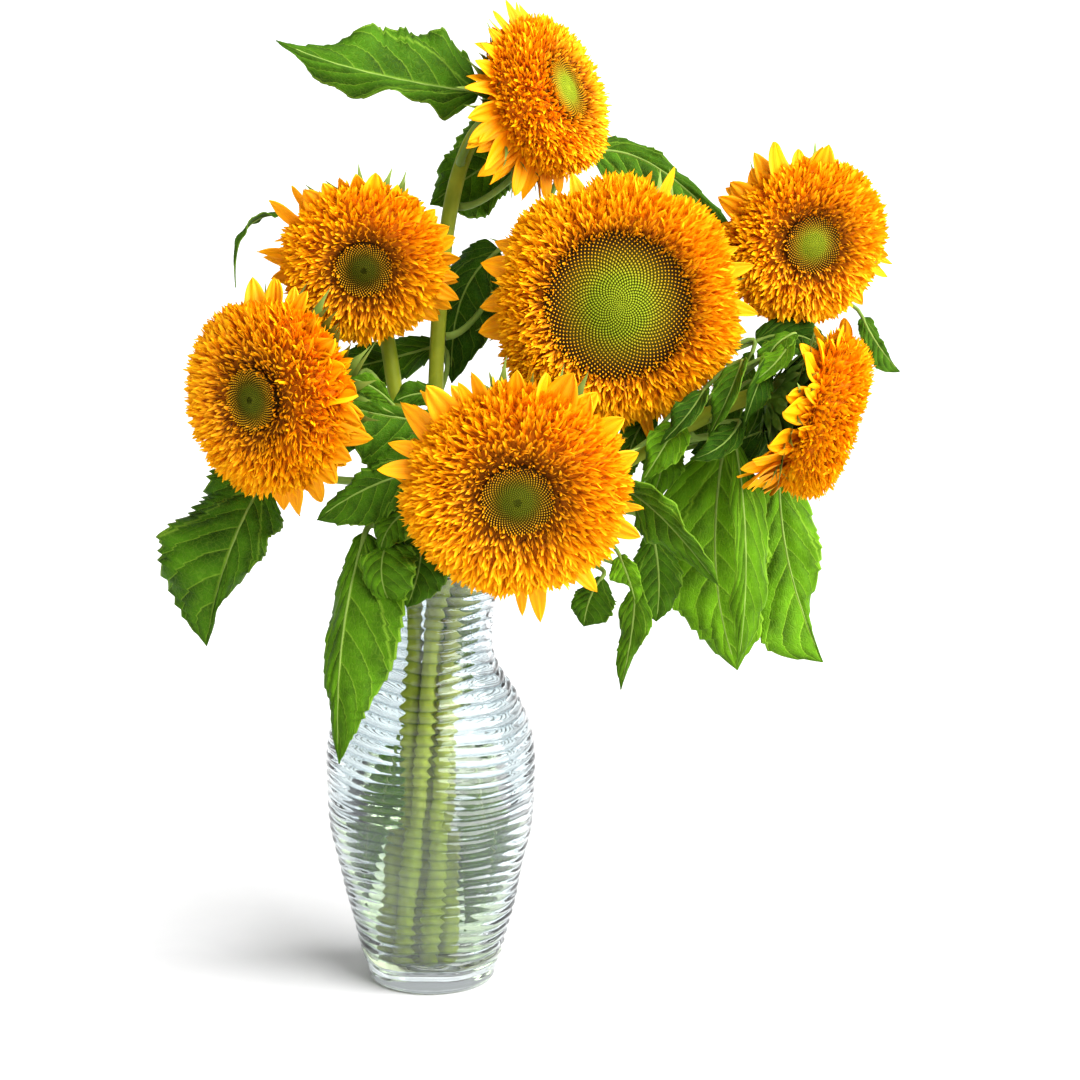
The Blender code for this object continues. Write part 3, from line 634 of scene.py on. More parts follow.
def leaf_material(name, tone):
    """Leaf tissue: u runs across, with the midrib at a half, and v from base to tip."""
    look = Look(name, 0.60, 0.06)
    layout, u, v = look.uv_parts()
    # The tone sets how bright the green is painted: partly the leaf's own green, partly painted light and
    # shade.
    base = between((0.018, 0.062, 0.0015), (0.074, 0.190, 0.002), tone)
    pale = tuple(1.3 * part + more for part, more in zip(base, (0.13, 0.18, 0.02)))
    across = look.math("ABSOLUTE", look.math("MULTIPLY_ADD", u, 2.0, -1.0))
    flip = look.math("MULTIPLY", look.math("GREATER_THAN", u, 0.5), OTHER_SIDE)
    lean = look.math("MULTIPLY_ADD", look.math("POWER", across, VEIN_CURVE), -VEIN_LEAN, v)
    turns = look.math("MULTIPLY_ADD", lean, SIDE_VEINS, flip)
    side_vein = look.near(look.math("PINGPONG", turns, 0.5), 0.055)
    basal = look.math("MULTIPLY", look.math("POWER", v, 0.8), 1.5)
    basal_vein = look.near(look.math("SUBTRACT", basal, across), 0.045)
    rib = look.near(across, 0.045)
    net = look.nodes.new("ShaderNodeTexVoronoi")
    net.feature = "DISTANCE_TO_EDGE"
    net.inputs["Scale"].default_value = 1.0
    look.join(look.stretched(layout, (30.0, 40.0, 1.0)), net.inputs["Vector"])
    mesh = look.near(net.outputs[0], 0.12)
    # Painted light and shade: broad noise patches stand for light and shade on the quilted tissue, with
    # some random mottling, and between each pair of side veins one slope is painted lighter and the other
    # darker.
    mottle = look.noise(look.stretched(layout, (4.0, 7.0, 1.0)), 1.0, 4.0)
    painted_light_and_mottle = look.math("MULTIPLY", mottle, 0.85)
    painted_light_and_mottle = look.math("MULTIPLY_ADD", look.math("FRACT", turns), 0.30, painted_light_and_mottle)
    colour = look.ramp(painted_light_and_mottle, ((0.34, scaled(base, 0.42)), (0.56, base), (0.80, scaled(base, 1.45))))
    colour = look.mix(look.math("MULTIPLY", mesh, 0.16), colour, pale)
    veins = look.math("MULTIPLY", look.math("MAXIMUM", side_vein, basal_vein), 0.62)
    veins = look.math("MAXIMUM", veins, rib)
    # Painted highlight: a pale line along the leaf's edge.
    painted_edge_highlight = look.math("MULTIPLY", look.math("GREATER_THAN", across, 0.955), 0.55)
    look.colour(look.mix(look.math("MAXIMUM", veins, painted_edge_highlight), colour, pale))
    relief = look.math("MULTIPLY_ADD", mesh, -0.5, look.math("MULTIPLY", veins, -0.7))
    look.bump(relief, 0.7, 0.0007)
    return look.material


def glass_material():
    """Clear glass with painted dark blue reflections in the grooves: u is 0 in a groove and 1 on a rib.
    """
    look = Look("vase_glass", 0.02, 0.5)
    _, u, _ = look.uv_parts()
    # Painted reflection: the grooves are a dark blue that stands for the dark surround seen in them.
    look.colour(look.ramp(u, ((0.08, (0.20, 0.29, 0.33)), (0.45, (0.64, 0.73, 0.75)),
                              (1.0, (0.85, 0.90, 0.91)))))
    look.clear(1.50)
    look.bump(look.noise(look.place(), 90.0, 2.0), 0.12, 0.0010)
    return look.material


def water_material():
    """Water tinted yellow-green, a painted green cast from the stems seen through it, and a faint ripple.
    """
    look = Look("vase_water", 0.0, 0.5)
    # Painted colour cast: the tint stands for the green of the stems seen through the water.
    look.colour((0.88, 0.96, 0.62))
    look.clear(1.33)
    look.bump(look.noise(look.place(), 60.0, 1.0), 0.03, 0.0010)
    return look.material


def floor_material():
    """Pale matt paper with a faint grain."""
    look = Look("floor_pale", 0.6, 0.2)
    grain = look.noise(look.place(), 40.0)
    look.colour(look.ramp(grain, ((0.0, (0.72, 0.72, 0.725)), (1.0, (0.76, 0.76, 0.76)))))
    return look.material


# ---------------------------------------------------------------- vase and water


def ribbed(points, depth):
    """Moves verts of a turned wall in and out in uneven, slowly winding ribs; gives their rib heights."""
    angle = np.arctan2(points[:, 1], points[:, 0])
    height = points[:, 2]
    wobble = 0.22 * np.sin(2 * angle + 31 * height) + 0.14 * np.sin(5 * angle - 67 * height + 1.3)
    wave = height / RIB_PITCH + angle / math.tau + wobble
    rib = np.abs(np.sin(math.pi * wave)) ** RIB_ROUND
    uneven = 0.75 + 0.25 * np.sin(3 * angle + 130 * height) * np.cos(7 * angle - 45 * height)
    low, high = RIB_ENDS
    fade = np.clip((height - low) / RIB_FADE, 0, 1) * np.clip((high - height) / RIB_FADE, 0, 1)
    shift = depth * (rib * uneven - 0.5) * fade
    points[:, :2] *= (1 + shift / np.maximum(np.hypot(points[:, 0], points[:, 1]), 1e-6))[:, None]
    return rib * fade + 0.8 * (1 - fade)


def arc(middle, radii, start, end, steps):
    """Points inside an arc of an ellipse, without its two ends."""
    angle = np.linspace(start, end, steps + 2)[1:-1]
    return np.asarray(middle) + np.stack([radii[0] * np.cos(angle), radii[1] * np.sin(angle)], -1)


def make_vase():
    """A turned wall with a thick floor; only its foot, lip and inner corner are free of ribs."""
    steps = 300
    sides = 192
    wall = smooth_curve(VASE_OUTLINE, steps)
    foot = arc((FOOT_RADIUS, FOOT_ROUND[1]), FOOT_ROUND, -math.pi / 2, 0, 5)
    outer = np.vstack([[(FOOT_RADIUS - 0.0005, 0.0)], foot, wall])
    lip = arc(wall[-1] - (WALL / 2, 0), (WALL / 2, LIP_HEIGHT), 0, math.pi, 7)
    inner = smooth_curve(VASE_OUTLINE, steps // 3)
    inner = inner[inner[:, 1] > VASE_FLOOR + WALL] - (WALL, 0)
    corner = np.linspace(0, math.pi / 2, 6)[1:]
    floor_round = inner[0] - np.stack([WALL * (1 - np.cos(corner)), WALL * np.sin(corner)], -1)
    points, faces = turned(np.vstack([outer, lip, inner[::-1], floor_round]), sides)
    rib = np.full(len(points), 0.9)
    outside = len(outer) * sides
    rib[:outside] = ribbed(points[:outside], RIB_DEPTH)
    inside = outside + len(lip) * sides
    ribbed(points[inside : inside + len(inner) * sides], INNER_RIB_DEPTH)
    # u carries the rib height, which places the glass's painted reflections.
    uv = np.stack([0.01 + 0.98 * rib, points[:, 2] / VASE_OUTLINE[-1][1]], -1)
    add_piece("vase_glass", points, faces, glass_material(), ("vase",), uv)


def make_water():
    """The water, whose top edge climbs the glass a little."""
    wall = smooth_curve(VASE_OUTLINE, 120)
    wall = wall[(wall[:, 1] > VASE_FLOOR + WALL) & (wall[:, 1] < WATER_LEVEL)] - (WALL + WATER_GAP, 0)
    edge = wall[-1][0]
    top = [(edge - inward, WATER_LEVEL + climb) for inward, climb in WATER_EDGE]
    low = [(wall[0][0] - WALL, VASE_FLOOR + 0.0003)]
    points, faces = turned(np.vstack([low, wall, top]), 96)
    add_piece("water_fill", points, faces, water_material(), ("water",))


# ---------------------------------------------------------------- stems


def bundle_place(bloom):
    """Where a stem stands in the bundle, from the bundle's middle."""
    if bloom.slot is None:
        return np.zeros(2)
    angle = math.radians(bloom.slot)
    return STEM_SPACING * np.array([math.cos(angle), math.sin(angle)])


def stem_points(bloom):
    """A stem's centre line, from the vase's floor through the neck to the calyx."""
    place = bundle_place(bloom)
    neck = np.array([*(np.array(NECK_CENTRE) + place), NECK_HEIGHT])
    twist = np.array([[math.cos(BUNDLE_TWIST), -math.sin(BUNDLE_TWIST)],
                      [math.sin(BUNDLE_TWIST), math.cos(BUNDLE_TWIST)]])
    foot = np.array([*(np.array(FLOOR_CENTRE) + FLOOR_SPREAD * twist @ place), VASE_FLOOR + 0.001])
    rise = unit(neck - foot)
    facing = unit(bloom.facing)
    end = np.array(bloom.centre) + facing * (CALYX_FOOT * bloom.radius)
    joint = end - facing * 0.004
    pull = joint - facing * bloom.approach
    bend = bezier(neck, neck + rise * bloom.lift, pull, joint, np.linspace(0, 1, STEM_STEPS))
    low = foot + (neck - foot) * np.linspace(0, 1, 12, endpoint=False)[:, None]
    return np.vstack([low, bend, end])


def make_stem(name, points, material):
    """A stem with lengthwise ridges, a little uneven in girth."""
    sides = 20
    count = len(points)
    angle = np.linspace(0, math.tau, sides, endpoint=False)
    ridges = 1 + 0.04 * np.sin(7 * angle)[None, :] + 0.025 * np.sin(np.arange(count) * 0.9)[:, None]
    verts, faces = tube(points, STEM_RADIUS * 0.97 * ridges, sides)
    add_piece(f"stem_of_{name}", verts, faces, material, (f"stem_{name}",))


# ---------------------------------------------------------------- blooms


def spiral(count):
    """The angles of a golden-angle spiral."""
    return np.arange(count) * GOLDEN_ANGLE


def spokes(angle):
    """Directions outward and round a bloom at the given angles."""
    outward = np.stack([np.cos(angle), np.sin(angle), np.zeros(len(angle))], -1)
    return outward, np.cross(AXIS, outward)


def repeated(faces, count, per):
    """The same faces for each of many copies that have the given number of verts."""
    shift = np.arange(count)[:, None, None] * per
    return (np.array(faces)[None] + shift).reshape(-1, len(faces[0])).tolist()


def dome_profile(bloom):
    """Rows (radius, height) that the florets' tips follow, from the eye's edge to behind the rim."""
    shoulder = bloom.disc + (0.86 - bloom.disc) * 0.45
    knots = [(bloom.disc * 0.94, 0.335), (shoulder, 0.375), (0.82, 0.29),
             (0.93, 0.15), (0.965, 0.0), (0.93, -0.14), (0.82, -0.24)]
    return smooth_curve(np.array(knots) * bloom.radius, 60)


def strand_mesh(roots, ahead, lift, widths, lengths, bends, sways, rows, trough):
    """Many narrow pointed blades at once. Gives verts, faces and each vert's place along its blade."""
    count = len(roots)
    side = unit(np.cross(ahead, lift))
    up = np.cross(side, ahead)
    levels = np.array([row[0] for row in rows] + [1.0])
    shares = np.array([row[1] for row in rows])
    along = (lengths[:, None] * levels[None, :])[..., None]
    curl = (lengths[:, None] * levels[None, :] ** 2)[..., None]
    middle = roots[:, None] + ahead[:, None] * along
    middle = middle + (up * bends[:, None] + side * sways[:, None])[:, None] * curl
    tips = middle[:, -1:]
    middle = middle[:, :-1]
    half = (widths[:, None] * shares[None, :])[..., None] / 2
    fold = up[:, None] * half * trough
    left = middle - side[:, None] * half + fold
    right = middle + side[:, None] * half + fold
    grid = np.stack([left, middle, right], 2).reshape(count, -1, 3)
    points = np.concatenate([grid, tips], 1)
    per = points.shape[1]
    last = (len(rows) - 1) * 3
    ends = [[last, last + 1, per - 1], [last + 1, last + 2, per - 1]]
    faces = repeated(grid_faces(len(rows), 3), count, per) + repeated(ends, count, per)
    v = np.concatenate([np.repeat(levels[:-1], 3), [1.0]])
    across = np.concatenate([np.tile([-1.0, 0.0, 1.0], len(rows)), [0.0]])
    return points.reshape(-1, 3), faces, np.tile(v, count), np.tile(across, count)


def ray_cover(name, angle):
    """How far ray petals fill the rim at each angle, from 0 to 1; the florets make way for them."""
    away = angle[:, None] - np.radians([ray[0] for ray in RAYS[name]])[None]
    away = (away + math.pi) % math.tau - math.pi
    return np.exp(-((away / math.radians(11)) ** 2)).max(axis=1)


def make_florets(name, bloom, material, bed, seed):
    """The ruff: narrow florets in a golden-angle spiral over a bed painted with shade."""
    rng = np.random.default_rng(seed)
    count = bloom.florets // 1
    profile = dome_profile(bloom)
    steps = np.diff(profile, axis=0)
    area = np.concatenate([[0], np.cumsum((profile[1:, 0] + profile[:-1, 0]) / 2 * np.hypot(*steps.T))])
    share = (np.arange(count) + 0.5) / count
    spot = np.interp(share**0.94, area / area[-1], np.arange(len(profile)))
    angle = spiral(count) + rng.normal(0, 0.03, count)
    radius, height = (np.interp(spot, np.arange(len(profile)), part) for part in profile.T)
    radius = radius * (1 + np.interp(share, [0.3, 0.8], [0, 1]) * (0.05 - 0.13 * ray_cover(name, angle)))
    outward, around = spokes(angle)
    tilt = np.radians(np.interp(share, FLORET_SHARES, FLORET_TILTS) + rng.normal(0, 8, count))
    ahead = outward * np.cos(tilt)[:, None] + AXIS * np.sin(tilt)[:, None]
    ahead = unit(ahead + around * rng.normal(0, 0.15, count)[:, None])
    tips = outward * radius[:, None] + AXIS * height[:, None]
    size = bloom.radius / FLORET_SIZE_RADIUS
    lengths = np.interp(share, FLORET_SHARES, FLORET_LENGTHS) * rng.uniform(0.8, 1.2, count) * size
    tips = tips + ahead * rng.uniform(-0.0022, 0.0014, count)[:, None]
    bends = rng.normal(0.08, 0.16, count)
    sways = rng.normal(0.0, 0.20, count)
    roots = tips - ahead * lengths[:, None]
    lean = around * rng.normal(0, 0.45, count)[:, None]
    lift = unit(AXIS * 0.9 + outward * 0.2 + lean - ahead * 0.3)
    widths = np.interp(share, FLORET_SHARES, FLORET_WIDTHS) * rng.uniform(0.8, 1.25, count)
    points, faces, v, across = strand_mesh(roots, ahead, lift, widths, lengths, bends, sways,
                                           FLORET_ROWS, 0.6)
    per = len(v) // count
    column = np.repeat(np.clip(share + rng.normal(0, 0.035, count), 0.01, 0.99), per)
    uv = np.stack([column + across * 0.002, v], -1)
    add_piece(f"florets_of_{name}", to_world(bloom, points), faces, material,
              (f"florets_{name}",), uv)
    make_bed(name, bloom, profile, bed)


def make_bed(name, bloom, profile, material):
    """The closed dome under the florets, a dark layer that shows as painted shade between them."""
    middle = np.array([0.0, -0.02 * bloom.radius])
    rows = middle + (profile - middle) * (0.85, 0.68)
    rows = np.vstack([[(0.001, rows[0][1])], rows, [(0.001, rows[-1][1])]])
    sides = 40
    points, faces = turned(rows[::-1], sides)
    along = np.repeat(np.linspace(0.99, 0.01, len(rows)), sides)
    uv = np.stack([along, np.tile(np.abs(np.linspace(-1, 1, sides)), len(rows))], -1)
    add_piece(f"bed_of_{name}", to_world(bloom, points), faces, material, (), uv)


def make_rays(name, bloom, material, seed):
    """Pointed ray petals round the rim, behind the florets."""
    rng = np.random.default_rng(seed)
    angle, reach, back, width = np.array(RAYS[name]).T
    fillers = np.array([angle + rng.choice([-1, 1], len(angle)) * rng.uniform(7, 12, len(angle)),
                        reach - rng.uniform(0.03, 0.12, len(angle)), back + 0.05, width * 0.8])
    angle, reach, back, width = np.hstack([[angle, reach, back, width], fillers])
    count = len(angle)
    size = bloom.radius
    outward, around = spokes(np.radians(angle))
    tips = outward * (reach * size)[:, None] - AXIS * (back * size)[:, None]
    roots = outward * (RAY_ROOT * size) + AXIS * (0.03 - 0.45 * np.maximum(back, 0))[:, None] * size
    lengths = np.linalg.norm(tips - roots, axis=1)
    ahead = unit(tips - roots)
    lift = unit(AXIS + outward * back[:, None] + around * rng.normal(0, 0.4, count)[:, None])
    bends = rng.normal(0.0, 0.10, count)
    points, faces, uv = petal_mesh(roots, ahead, lift, width / 1000 * RAY_BREADTH, lengths, bends, rng)
    add_piece(f"rays_of_{name}", to_world(bloom, points), faces, material, (f"rays_{name}",), uv)


def petal_mesh(roots, ahead, lift, widths, lengths, bends, rng):
    """Broad pointed petals with a trough, pleats and waved edges. Gives verts, faces and map places."""
    rows, columns = 14, 9
    t = np.linspace(0, 1, rows)
    x = np.linspace(-1, 1, columns)
    shape = (1 - t**3.4) ** 0.80 * (0.55 + 0.45 * np.minimum(t / 0.45, 1))
    shape[-1] = 0.015
    points, faces, places = [], [], []
    for root, way, up, width, length, bend in zip(roots, ahead, lift, widths, lengths, bends):
        side = unit(np.cross(way, up))
        up = np.cross(side, way)
        sway, skew, phase = rng.normal(0, 0.10), rng.normal(0, 0.12), rng.uniform(0, math.tau)
        across = (x[None, :] + skew * (1 - x[None, :] ** 2)) * shape[:, None] * width / 2
        across = across + sway * length * t[:, None] ** 2
        pleat = np.cos(math.pi * 2.5 * x)[None, :] * shape[:, None] ** 0.5
        cup = (1.9 - 2.3 * t[:, None]) * x[None, :] ** 2
        wave = 0.7 * x[None, :] ** 2 * np.sin(7 * t[:, None] + phase + x[None, :])
        curve = bend * length * t[:, None] ** 2 + 0.10 * width * (0.8 * pleat + cup + wave)
        grid = root + way * (length * t)[:, None, None] + side * across[..., None] + up * curve[..., None]
        faces += grid_faces(rows, columns, start=len(points) * rows * columns)
        points.append(grid.reshape(-1, 3))
        places.append(np.stack(np.meshgrid((x + 1) / 2, t), -1).reshape(-1, 2))
    return np.concatenate(points), faces, np.concatenate(places)


def make_disc(name, bloom, material):
    """The eye: buds in a golden-angle spiral on a low dome, finest in the middle."""
    radius = bloom.disc * bloom.radius
    count = int(DISC_BUDS * (radius / DISC_SIZE_RADIUS) ** 1.1) // 1
    order = (np.arange(count) + 0.5) / count
    share = order**DISC_SPREAD
    outward, around = spokes(spiral(count))
    sunken = 0.06 * bloom.tint * radius * (share < 0.12)
    base = DISC_HEIGHT * bloom.radius + 0.06 * radius * np.cos(share * math.pi * 1.2) - sunken
    roots = outward * (radius * share)[:, None] + AXIS * base[:, None]
    inward = np.interp(share, [0, 0.5, 0.8, 1.0], [-0.30, -0.55, -0.10, 0.25])
    ahead = unit(AXIS + outward * inward[:, None])
    spacing = radius * np.sqrt(math.tau * DISC_SPREAD / count * order ** (2 * DISC_SPREAD - 1))
    lengths = spacing * np.interp(share, [0, 0.5, 0.8, 1.0], [0.9, 1.1, 1.5, 1.9])
    girth = spacing * np.interp(share, [0, 0.5, 0.75, 1.0], [0.50, 0.42, 0.30, 0.27])
    sides = 5
    turn = np.linspace(0, math.tau, sides, endpoint=False)
    ring = outward[:, None] * np.cos(turn)[None, :, None] + around[:, None] * np.sin(turn)[None, :, None]
    levels, shares = (0.0, 0.6, 0.9), (0.8, 1.0, 0.6)
    rows = [roots[:, None] + ahead[:, None] * (lengths * level)[:, None, None]
            + ring * (girth * part)[:, None, None] for level, part in zip(levels, shares)]
    tips = (roots + ahead * lengths[:, None])[:, None]
    points = np.concatenate(rows + [tips], 1)
    per = points.shape[1]
    last = (len(levels) - 1) * sides
    caps = [[last + k, last + (k + 1) % sides, per - 1] for k in range(sides)]
    faces = repeated(grid_faces(len(levels), sides, wrap=True), count, per) + repeated(caps, count, per)
    v = np.tile(np.concatenate([np.repeat(levels, sides), [1.0]]), count)
    nudge = np.tile(np.concatenate([np.tile(np.cos(turn), len(levels)), [0]]), count) * 0.002
    u = np.repeat(np.clip(share, 0.01, 0.99), per) + nudge
    low = DISC_DEPTH * bloom.radius
    bed_rows = [(0.0005, low), (radius, low), (radius, base[-1]),
                (radius * 0.6, np.interp(0.6, share, base)), (0.0005, base[0])]
    bed_points, bed_faces = turned(bed_rows, 32)
    bed_u = np.clip(np.hypot(bed_points[:, 0], bed_points[:, 1]) / radius, 0.01, 0.99)
    # The eye's bed takes the buds' root colour, painted shade.
    uv = np.stack([np.concatenate([u, bed_u]), np.concatenate([v, np.zeros(len(bed_u))])], -1)
    faces += [[corner + count * per for corner in face] for face in bed_faces]
    points = np.concatenate([points.reshape(-1, 3), bed_points])
    add_piece(f"disc_of_{name}", to_world(bloom, points), faces, material,
              (f"disc_{name}",), uv, smooth=False)


def make_calyx(name, bloom, material, bract_look, seed):
    """The green cup, and the narrow bracts that stand round it."""
    size = bloom.radius
    outline = smooth_curve([(0.0050, CALYX_FOOT * size), (0.22 * size, -0.55 * size),
                            (0.42 * size, -0.43 * size), (0.60 * size, RIM * size)], 14)
    points, faces = turned(np.vstack([outline, [(0.55 * size, RIM * size + 0.0005)]]), 36)
    add_piece(f"cup_of_{name}", to_world(bloom, points), faces, material, (f"calyx_{name}",))
    rng = np.random.default_rng(seed)
    counts, *parts = np.array(BRACT_RINGS).T
    ring = np.repeat(np.arange(len(BRACT_RINGS)), counts.astype(int))
    place, depth, forward, length = (part[ring] for part in parts)
    bracts = len(ring)
    outward, around = spokes(spiral(bracts) + rng.normal(0, 0.08, bracts))
    forward = forward + rng.normal(0, 0.10, bracts)
    ahead = outward + AXIS * forward[:, None] + around * rng.normal(0, 0.15, bracts)[:, None]
    roots = outward * (place * size)[:, None] - AXIS * (depth * size)[:, None]
    lift = unit(outward * 0.5 - AXIS)
    lengths = size * length * rng.uniform(0.8, 1.2, bracts)
    widths = size * rng.uniform(0.13, 0.19, bracts)
    bends, sways = rng.normal(0.10, 0.25, bracts), rng.normal(0.0, 0.25, bracts)
    blades, faces, v, across = strand_mesh(roots, unit(ahead), lift, widths, lengths, bends, sways,
                                           BRACT_ROWS, 0.35)
    uv = np.stack([across * 0.4 + 0.5, v], -1)
    add_piece(f"bracts_of_{name}", to_world(bloom, blades), faces, bract_look, (), uv)


# ---------------------------------------------------------------- leaves


def stem_place(points, height):
    """The point on a stem at a height, and the stem's direction there."""
    row = int(np.argmax(points[:, 2] > height)) - 1
    low, high = points[row], points[row + 1]
    return low + (high - low) * (height - low[2]) / (high[2] - low[2]), unit(high - low)


def midrib(leaf):
    """A leaf's base, tip, and the point that pulls its midrib through its middle."""
    base, mid, tip = (np.array(point) / 1000 for point in (leaf.base, leaf.mid, leaf.tip))
    return base, tip, 2 * mid - (base + tip) / 2


def edge_widths(widths, t, teeth, rng):
    """Half widths along one side of a blade, with uneven teeth that lean to the tip."""
    knots = np.array([*widths, 0.0]) / 1000
    stations = np.linspace(0, 1, len(knots))
    half = smooth_curve(np.stack([stations, knots], -1), len(t) - 1)[:, 1]
    half = np.maximum(half, 0) * np.sqrt(np.minimum(t / 0.035, 1))
    ends = np.cumsum(rng.uniform(0.5, 1.5, teeth))
    ends = np.concatenate([[0], ends / ends[-1]])
    depths = rng.uniform(0.3, 1.3, teeth + 1)
    tooth = np.clip(np.searchsorted(ends, t, side="right") - 1, 0, teeth - 1)
    saw = (t - ends[tooth]) / (ends[tooth + 1] - ends[tooth])
    room = np.minimum(half / half.max() * 2, 1)
    notch = TOOTH_DEPTH * half.max() * depths[tooth] * (saw**1.4 - 0.5) * room
    return np.maximum(half + notch, 0.0003)


def blade_points(leaf, seed):
    """The blade's verts as a grid, with teeth, folds, ruffles and quilting between the veins."""
    rng = np.random.default_rng(seed)
    rows, columns = ((121, 25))
    t = np.linspace(0.0, 1.0, rows)
    u = np.linspace(-1, 1, columns)
    base, tip, pull = midrib(leaf)
    centres = (1 - t)[:, None] ** 2 * base + 2 * (t * (1 - t))[:, None] * pull + t[:, None] ** 2 * tip
    ahead = unit(np.gradient(centres, axis=0))
    side = unit(np.cross(ahead, unit(leaf.face)))
    up = np.cross(side, ahead)
    size = 2 * max(*leaf.left, *leaf.right) / 1000
    teeth = int(np.interp(size, [0.02, 0.07], [9, 19]))
    left, right = (edge_widths(widths, t, teeth, rng) for widths in (leaf.left, leaf.right))
    x = np.where(u[None, :] < 0, left[:, None], right[:, None]) * u[None, :]
    lift = np.radians(np.where(u < 0, leaf.lift[0], leaf.lift[1]))[None, :]
    phase = rng.uniform(0, math.tau, 4)
    edge = np.abs(u)[None, :]
    along = t[:, None]
    swell = np.minimum(np.minimum(along * 6, (1 - along) * 4), 1)
    ruffle = 0.075 * edge**2 * np.sin(along * 13 + phase[0] + 1.7 * u[None, :])
    ruffle = ruffle + 0.045 * edge**3 * np.sin(along * 29 + phase[1] - 2.2 * u[None, :])
    buckle = 0.05 * np.sin(along * 5 + phase[2]) * (0.4 + edge)
    turns = (along - VEIN_LEAN * edge**VEIN_CURVE) * SIDE_VEINS + (u > 0)[None, :] * OTHER_SIDE
    apart = np.abs((turns + 0.5) % 1.0 - 0.5) * 2
    quilt = 0.034 * np.sqrt(apart) * np.minimum(edge * 4, 1) * (1 - edge**4)
    crown = -0.12 * edge**2
    relief = size * swell * (ruffle + buckle + quilt + crown)
    spread = side[:, None] * (x * np.cos(lift))[..., None]
    grid = centres[:, None] + spread + up[:, None] * (np.abs(x) * np.sin(lift) + relief)[..., None]
    places = np.stack(np.meshgrid((u + 1) / 2, t), -1).reshape(-1, 2)
    return grid, places


def stalk_points(leaf, stem):
    """The stalk's centre line, from the stem's skin to the blade."""
    joint, along = stem_place(stem, leaf.height / 1000)
    base, _, pull = midrib(leaf)
    out = base - joint
    out = unit(out - out.dot(along) * along)
    start = joint + out * STEM_RADIUS
    reach = np.linalg.norm(base - start) / 3
    arrival = base - unit(pull - base) * reach
    return bezier(start, start + out * reach, arrival, base, np.linspace(0, 1, STALK_STEPS))


def make_leaf(name, leaf, stem, materials, stalk_material, seed, replaced):
    """A blade, and the stalk that runs on along its back as the midrib."""
    grid, places = blade_points(leaf, seed)
    rows, columns = grid.shape[:2]
    tone = round(leaf.tone * (len(materials) - 1))
    blade = add_piece(f"blade_{name}", grid.reshape(-1, 3), grid_faces(rows, columns), materials[tone],
                      replaced, places)
    solid = blade.modifiers.new("thickness", "SOLIDIFY")
    solid.thickness = LEAF_THICKNESS
    solid.offset = 0
    stalk = stalk_points(leaf, stem)
    middle = grid[: int(rows * 0.92), columns // 2]
    across = grid[: len(middle), columns // 2 + 1] - grid[: len(middle), columns // 2 - 1]
    rib = middle + np.cross(unit(across), unit(np.gradient(middle, axis=0))) * 0.0002
    path = np.vstack([stalk[:-1], rib[1:]])
    girth = 0.0009 + 0.016 * 2 * max(*leaf.left, *leaf.right) / 1000
    marks = [0, 3, len(stalk) - 3, len(stalk) + 8, len(path)]
    radii = np.interp(np.arange(len(path)), marks, [girth * 1.3, girth, girth * 0.9, 0.0008, 0.0003])
    verts, faces = tube(path, radii, 8)
    add_piece(f"stalk_{name}", verts, faces, stalk_material)


# ---------------------------------------------------------------- stage, light and camera


def make_floor():
    """A wide pale floor just under the vase."""
    corners = [(-GROUND_SIZE, -GROUND_SIZE, 0), (GROUND_SIZE, -GROUND_SIZE, 0),
               (GROUND_SIZE, GROUND_SIZE, 0), (-GROUND_SIZE, GROUND_SIZE, 0)]
    mesh = bpy.data.meshes.new("floor")
    mesh.from_pydata(corners, [], [(0, 1, 2, 3)])
    mesh.materials.append(floor_material())
    floor = bpy.data.objects.new("floor", mesh)
    bpy.context.scene.collection.objects.link(floor)
    floor.location.z = -GROUND_DROP


def make_lights():
    """One broad soft key light from the right, in a bright studio."""
    sun = bpy.data.lights.new("key", "SUN")
    sun.energy = SUN_STRENGTH
    sun.angle = SUN_SPREAD
    light = bpy.data.objects.new("key", sun)
    bpy.context.scene.collection.objects.link(light)
    light.rotation_euler = Vector(SUN_WAY).to_track_quat("-Z", "Y").to_euler()
    world = bpy.data.worlds.new("studio")
    bpy.context.scene.world = world
    world.use_nodes = True
    sky = Nodes(world.node_tree)
    way = sky.nodes.new("ShaderNodeTexCoord").outputs["Generated"]
    glow = sky.ramp(sky.split(way)[2], ((WHITE_UP_TO, WHITE), (DIM_FROM, scaled(WHITE, SKY_DIM))))
    sky.join(glow, sky.nodes["Background"].inputs[0])


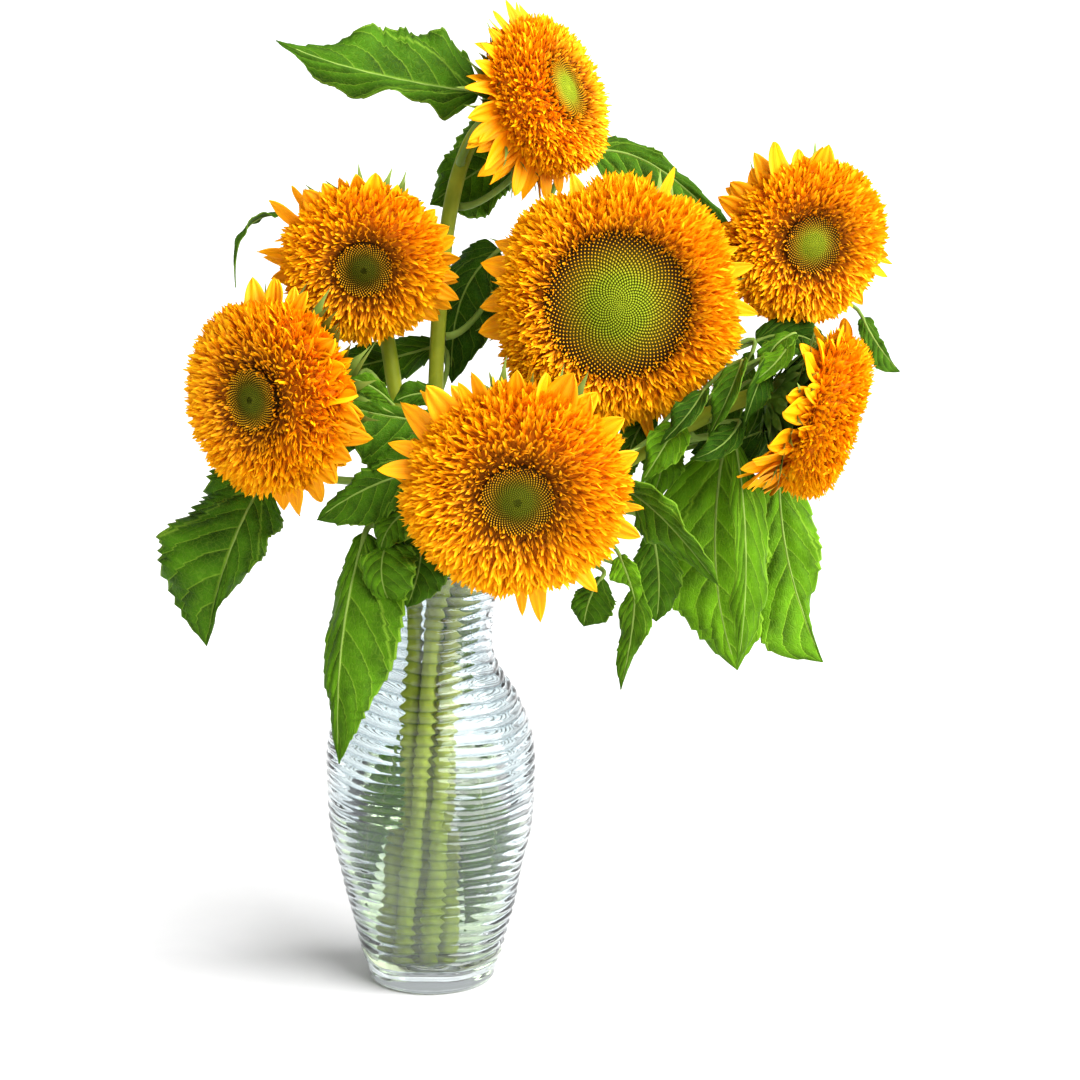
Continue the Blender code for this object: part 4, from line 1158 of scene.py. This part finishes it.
def make_camera():
    """The picture's own viewing angle."""
    lens = bpy.data.cameras.new("view")
    lens.sensor_width = SENSOR
    lens.lens = SENSOR * VIEW_DISTANCE / VIEW_WIDTH
    lens.dof.use_dof = False
    camera = bpy.data.objects.new("view", lens)
    bpy.context.scene.collection.objects.link(camera)
    away = Vector((0, -math.cos(VIEW_ELEVATION), math.sin(VIEW_ELEVATION)))
    camera.location = VIEW_TARGET + away * VIEW_DISTANCE
    camera.rotation_euler = (-away).to_track_quat("-Z", "Y").to_euler()
    bpy.context.scene.camera = camera


def main():
    make_vase()
    make_water()
    stem_look = green_material("stem_green", (0.15, 0.20, 0.008), (0.30, 0.34, 0.022), 60.0,
                               vase_colour=(0.52, 0.58, 0.06))
    cup_look = green_material("calyx_green", (0.05, 0.11, 0.006), (0.09, 0.19, 0.012), 80.0)
    bract_look = bract_material()
    stalk_look = green_material("stalk_green", (0.13, 0.21, 0.03), (0.22, 0.32, 0.06), 90.0)
    floret_look, ray_look, painted_shade_bed_look = floret_material(), ray_material(), painted_shade_bed_material()
    light_and_tone_steps = np.linspace(0, 1, LEAF_LIGHT_AND_TONE_STEPS).tolist()
    leaf_looks = [leaf_material(f"leaf_light_and_tone_{index}", tone) for index, tone in enumerate(light_and_tone_steps)]
    stems = {name: stem_points(bloom) for name, bloom in BLOOMS.items()}
    for seed, (name, bloom) in enumerate(BLOOMS.items()):
        make_stem(name, stems[name], stem_look)
        make_calyx(name, bloom, cup_look, bract_look, 100 + seed)
        make_rays(name, bloom, ray_look, 200 + seed)
        make_florets(name, bloom, floret_look, painted_shade_bed_look, 300 + seed)
        make_disc(name, bloom, disc_material(f"disc_{name}_look", bloom.tint))
    for seed, (name, leaf) in enumerate({**LEAVES, **SMALL_LEAVES}.items()):
        replaced = (f"leaf_{name}",) if name in LEAVES else ()
        make_leaf(name, leaf, stems[leaf.stem], leaf_looks, stalk_look, 400 + seed, replaced)
    make_floor()
    make_lights()
    make_camera()
    bpy.context.scene.view_settings.view_transform = "Standard"


main()
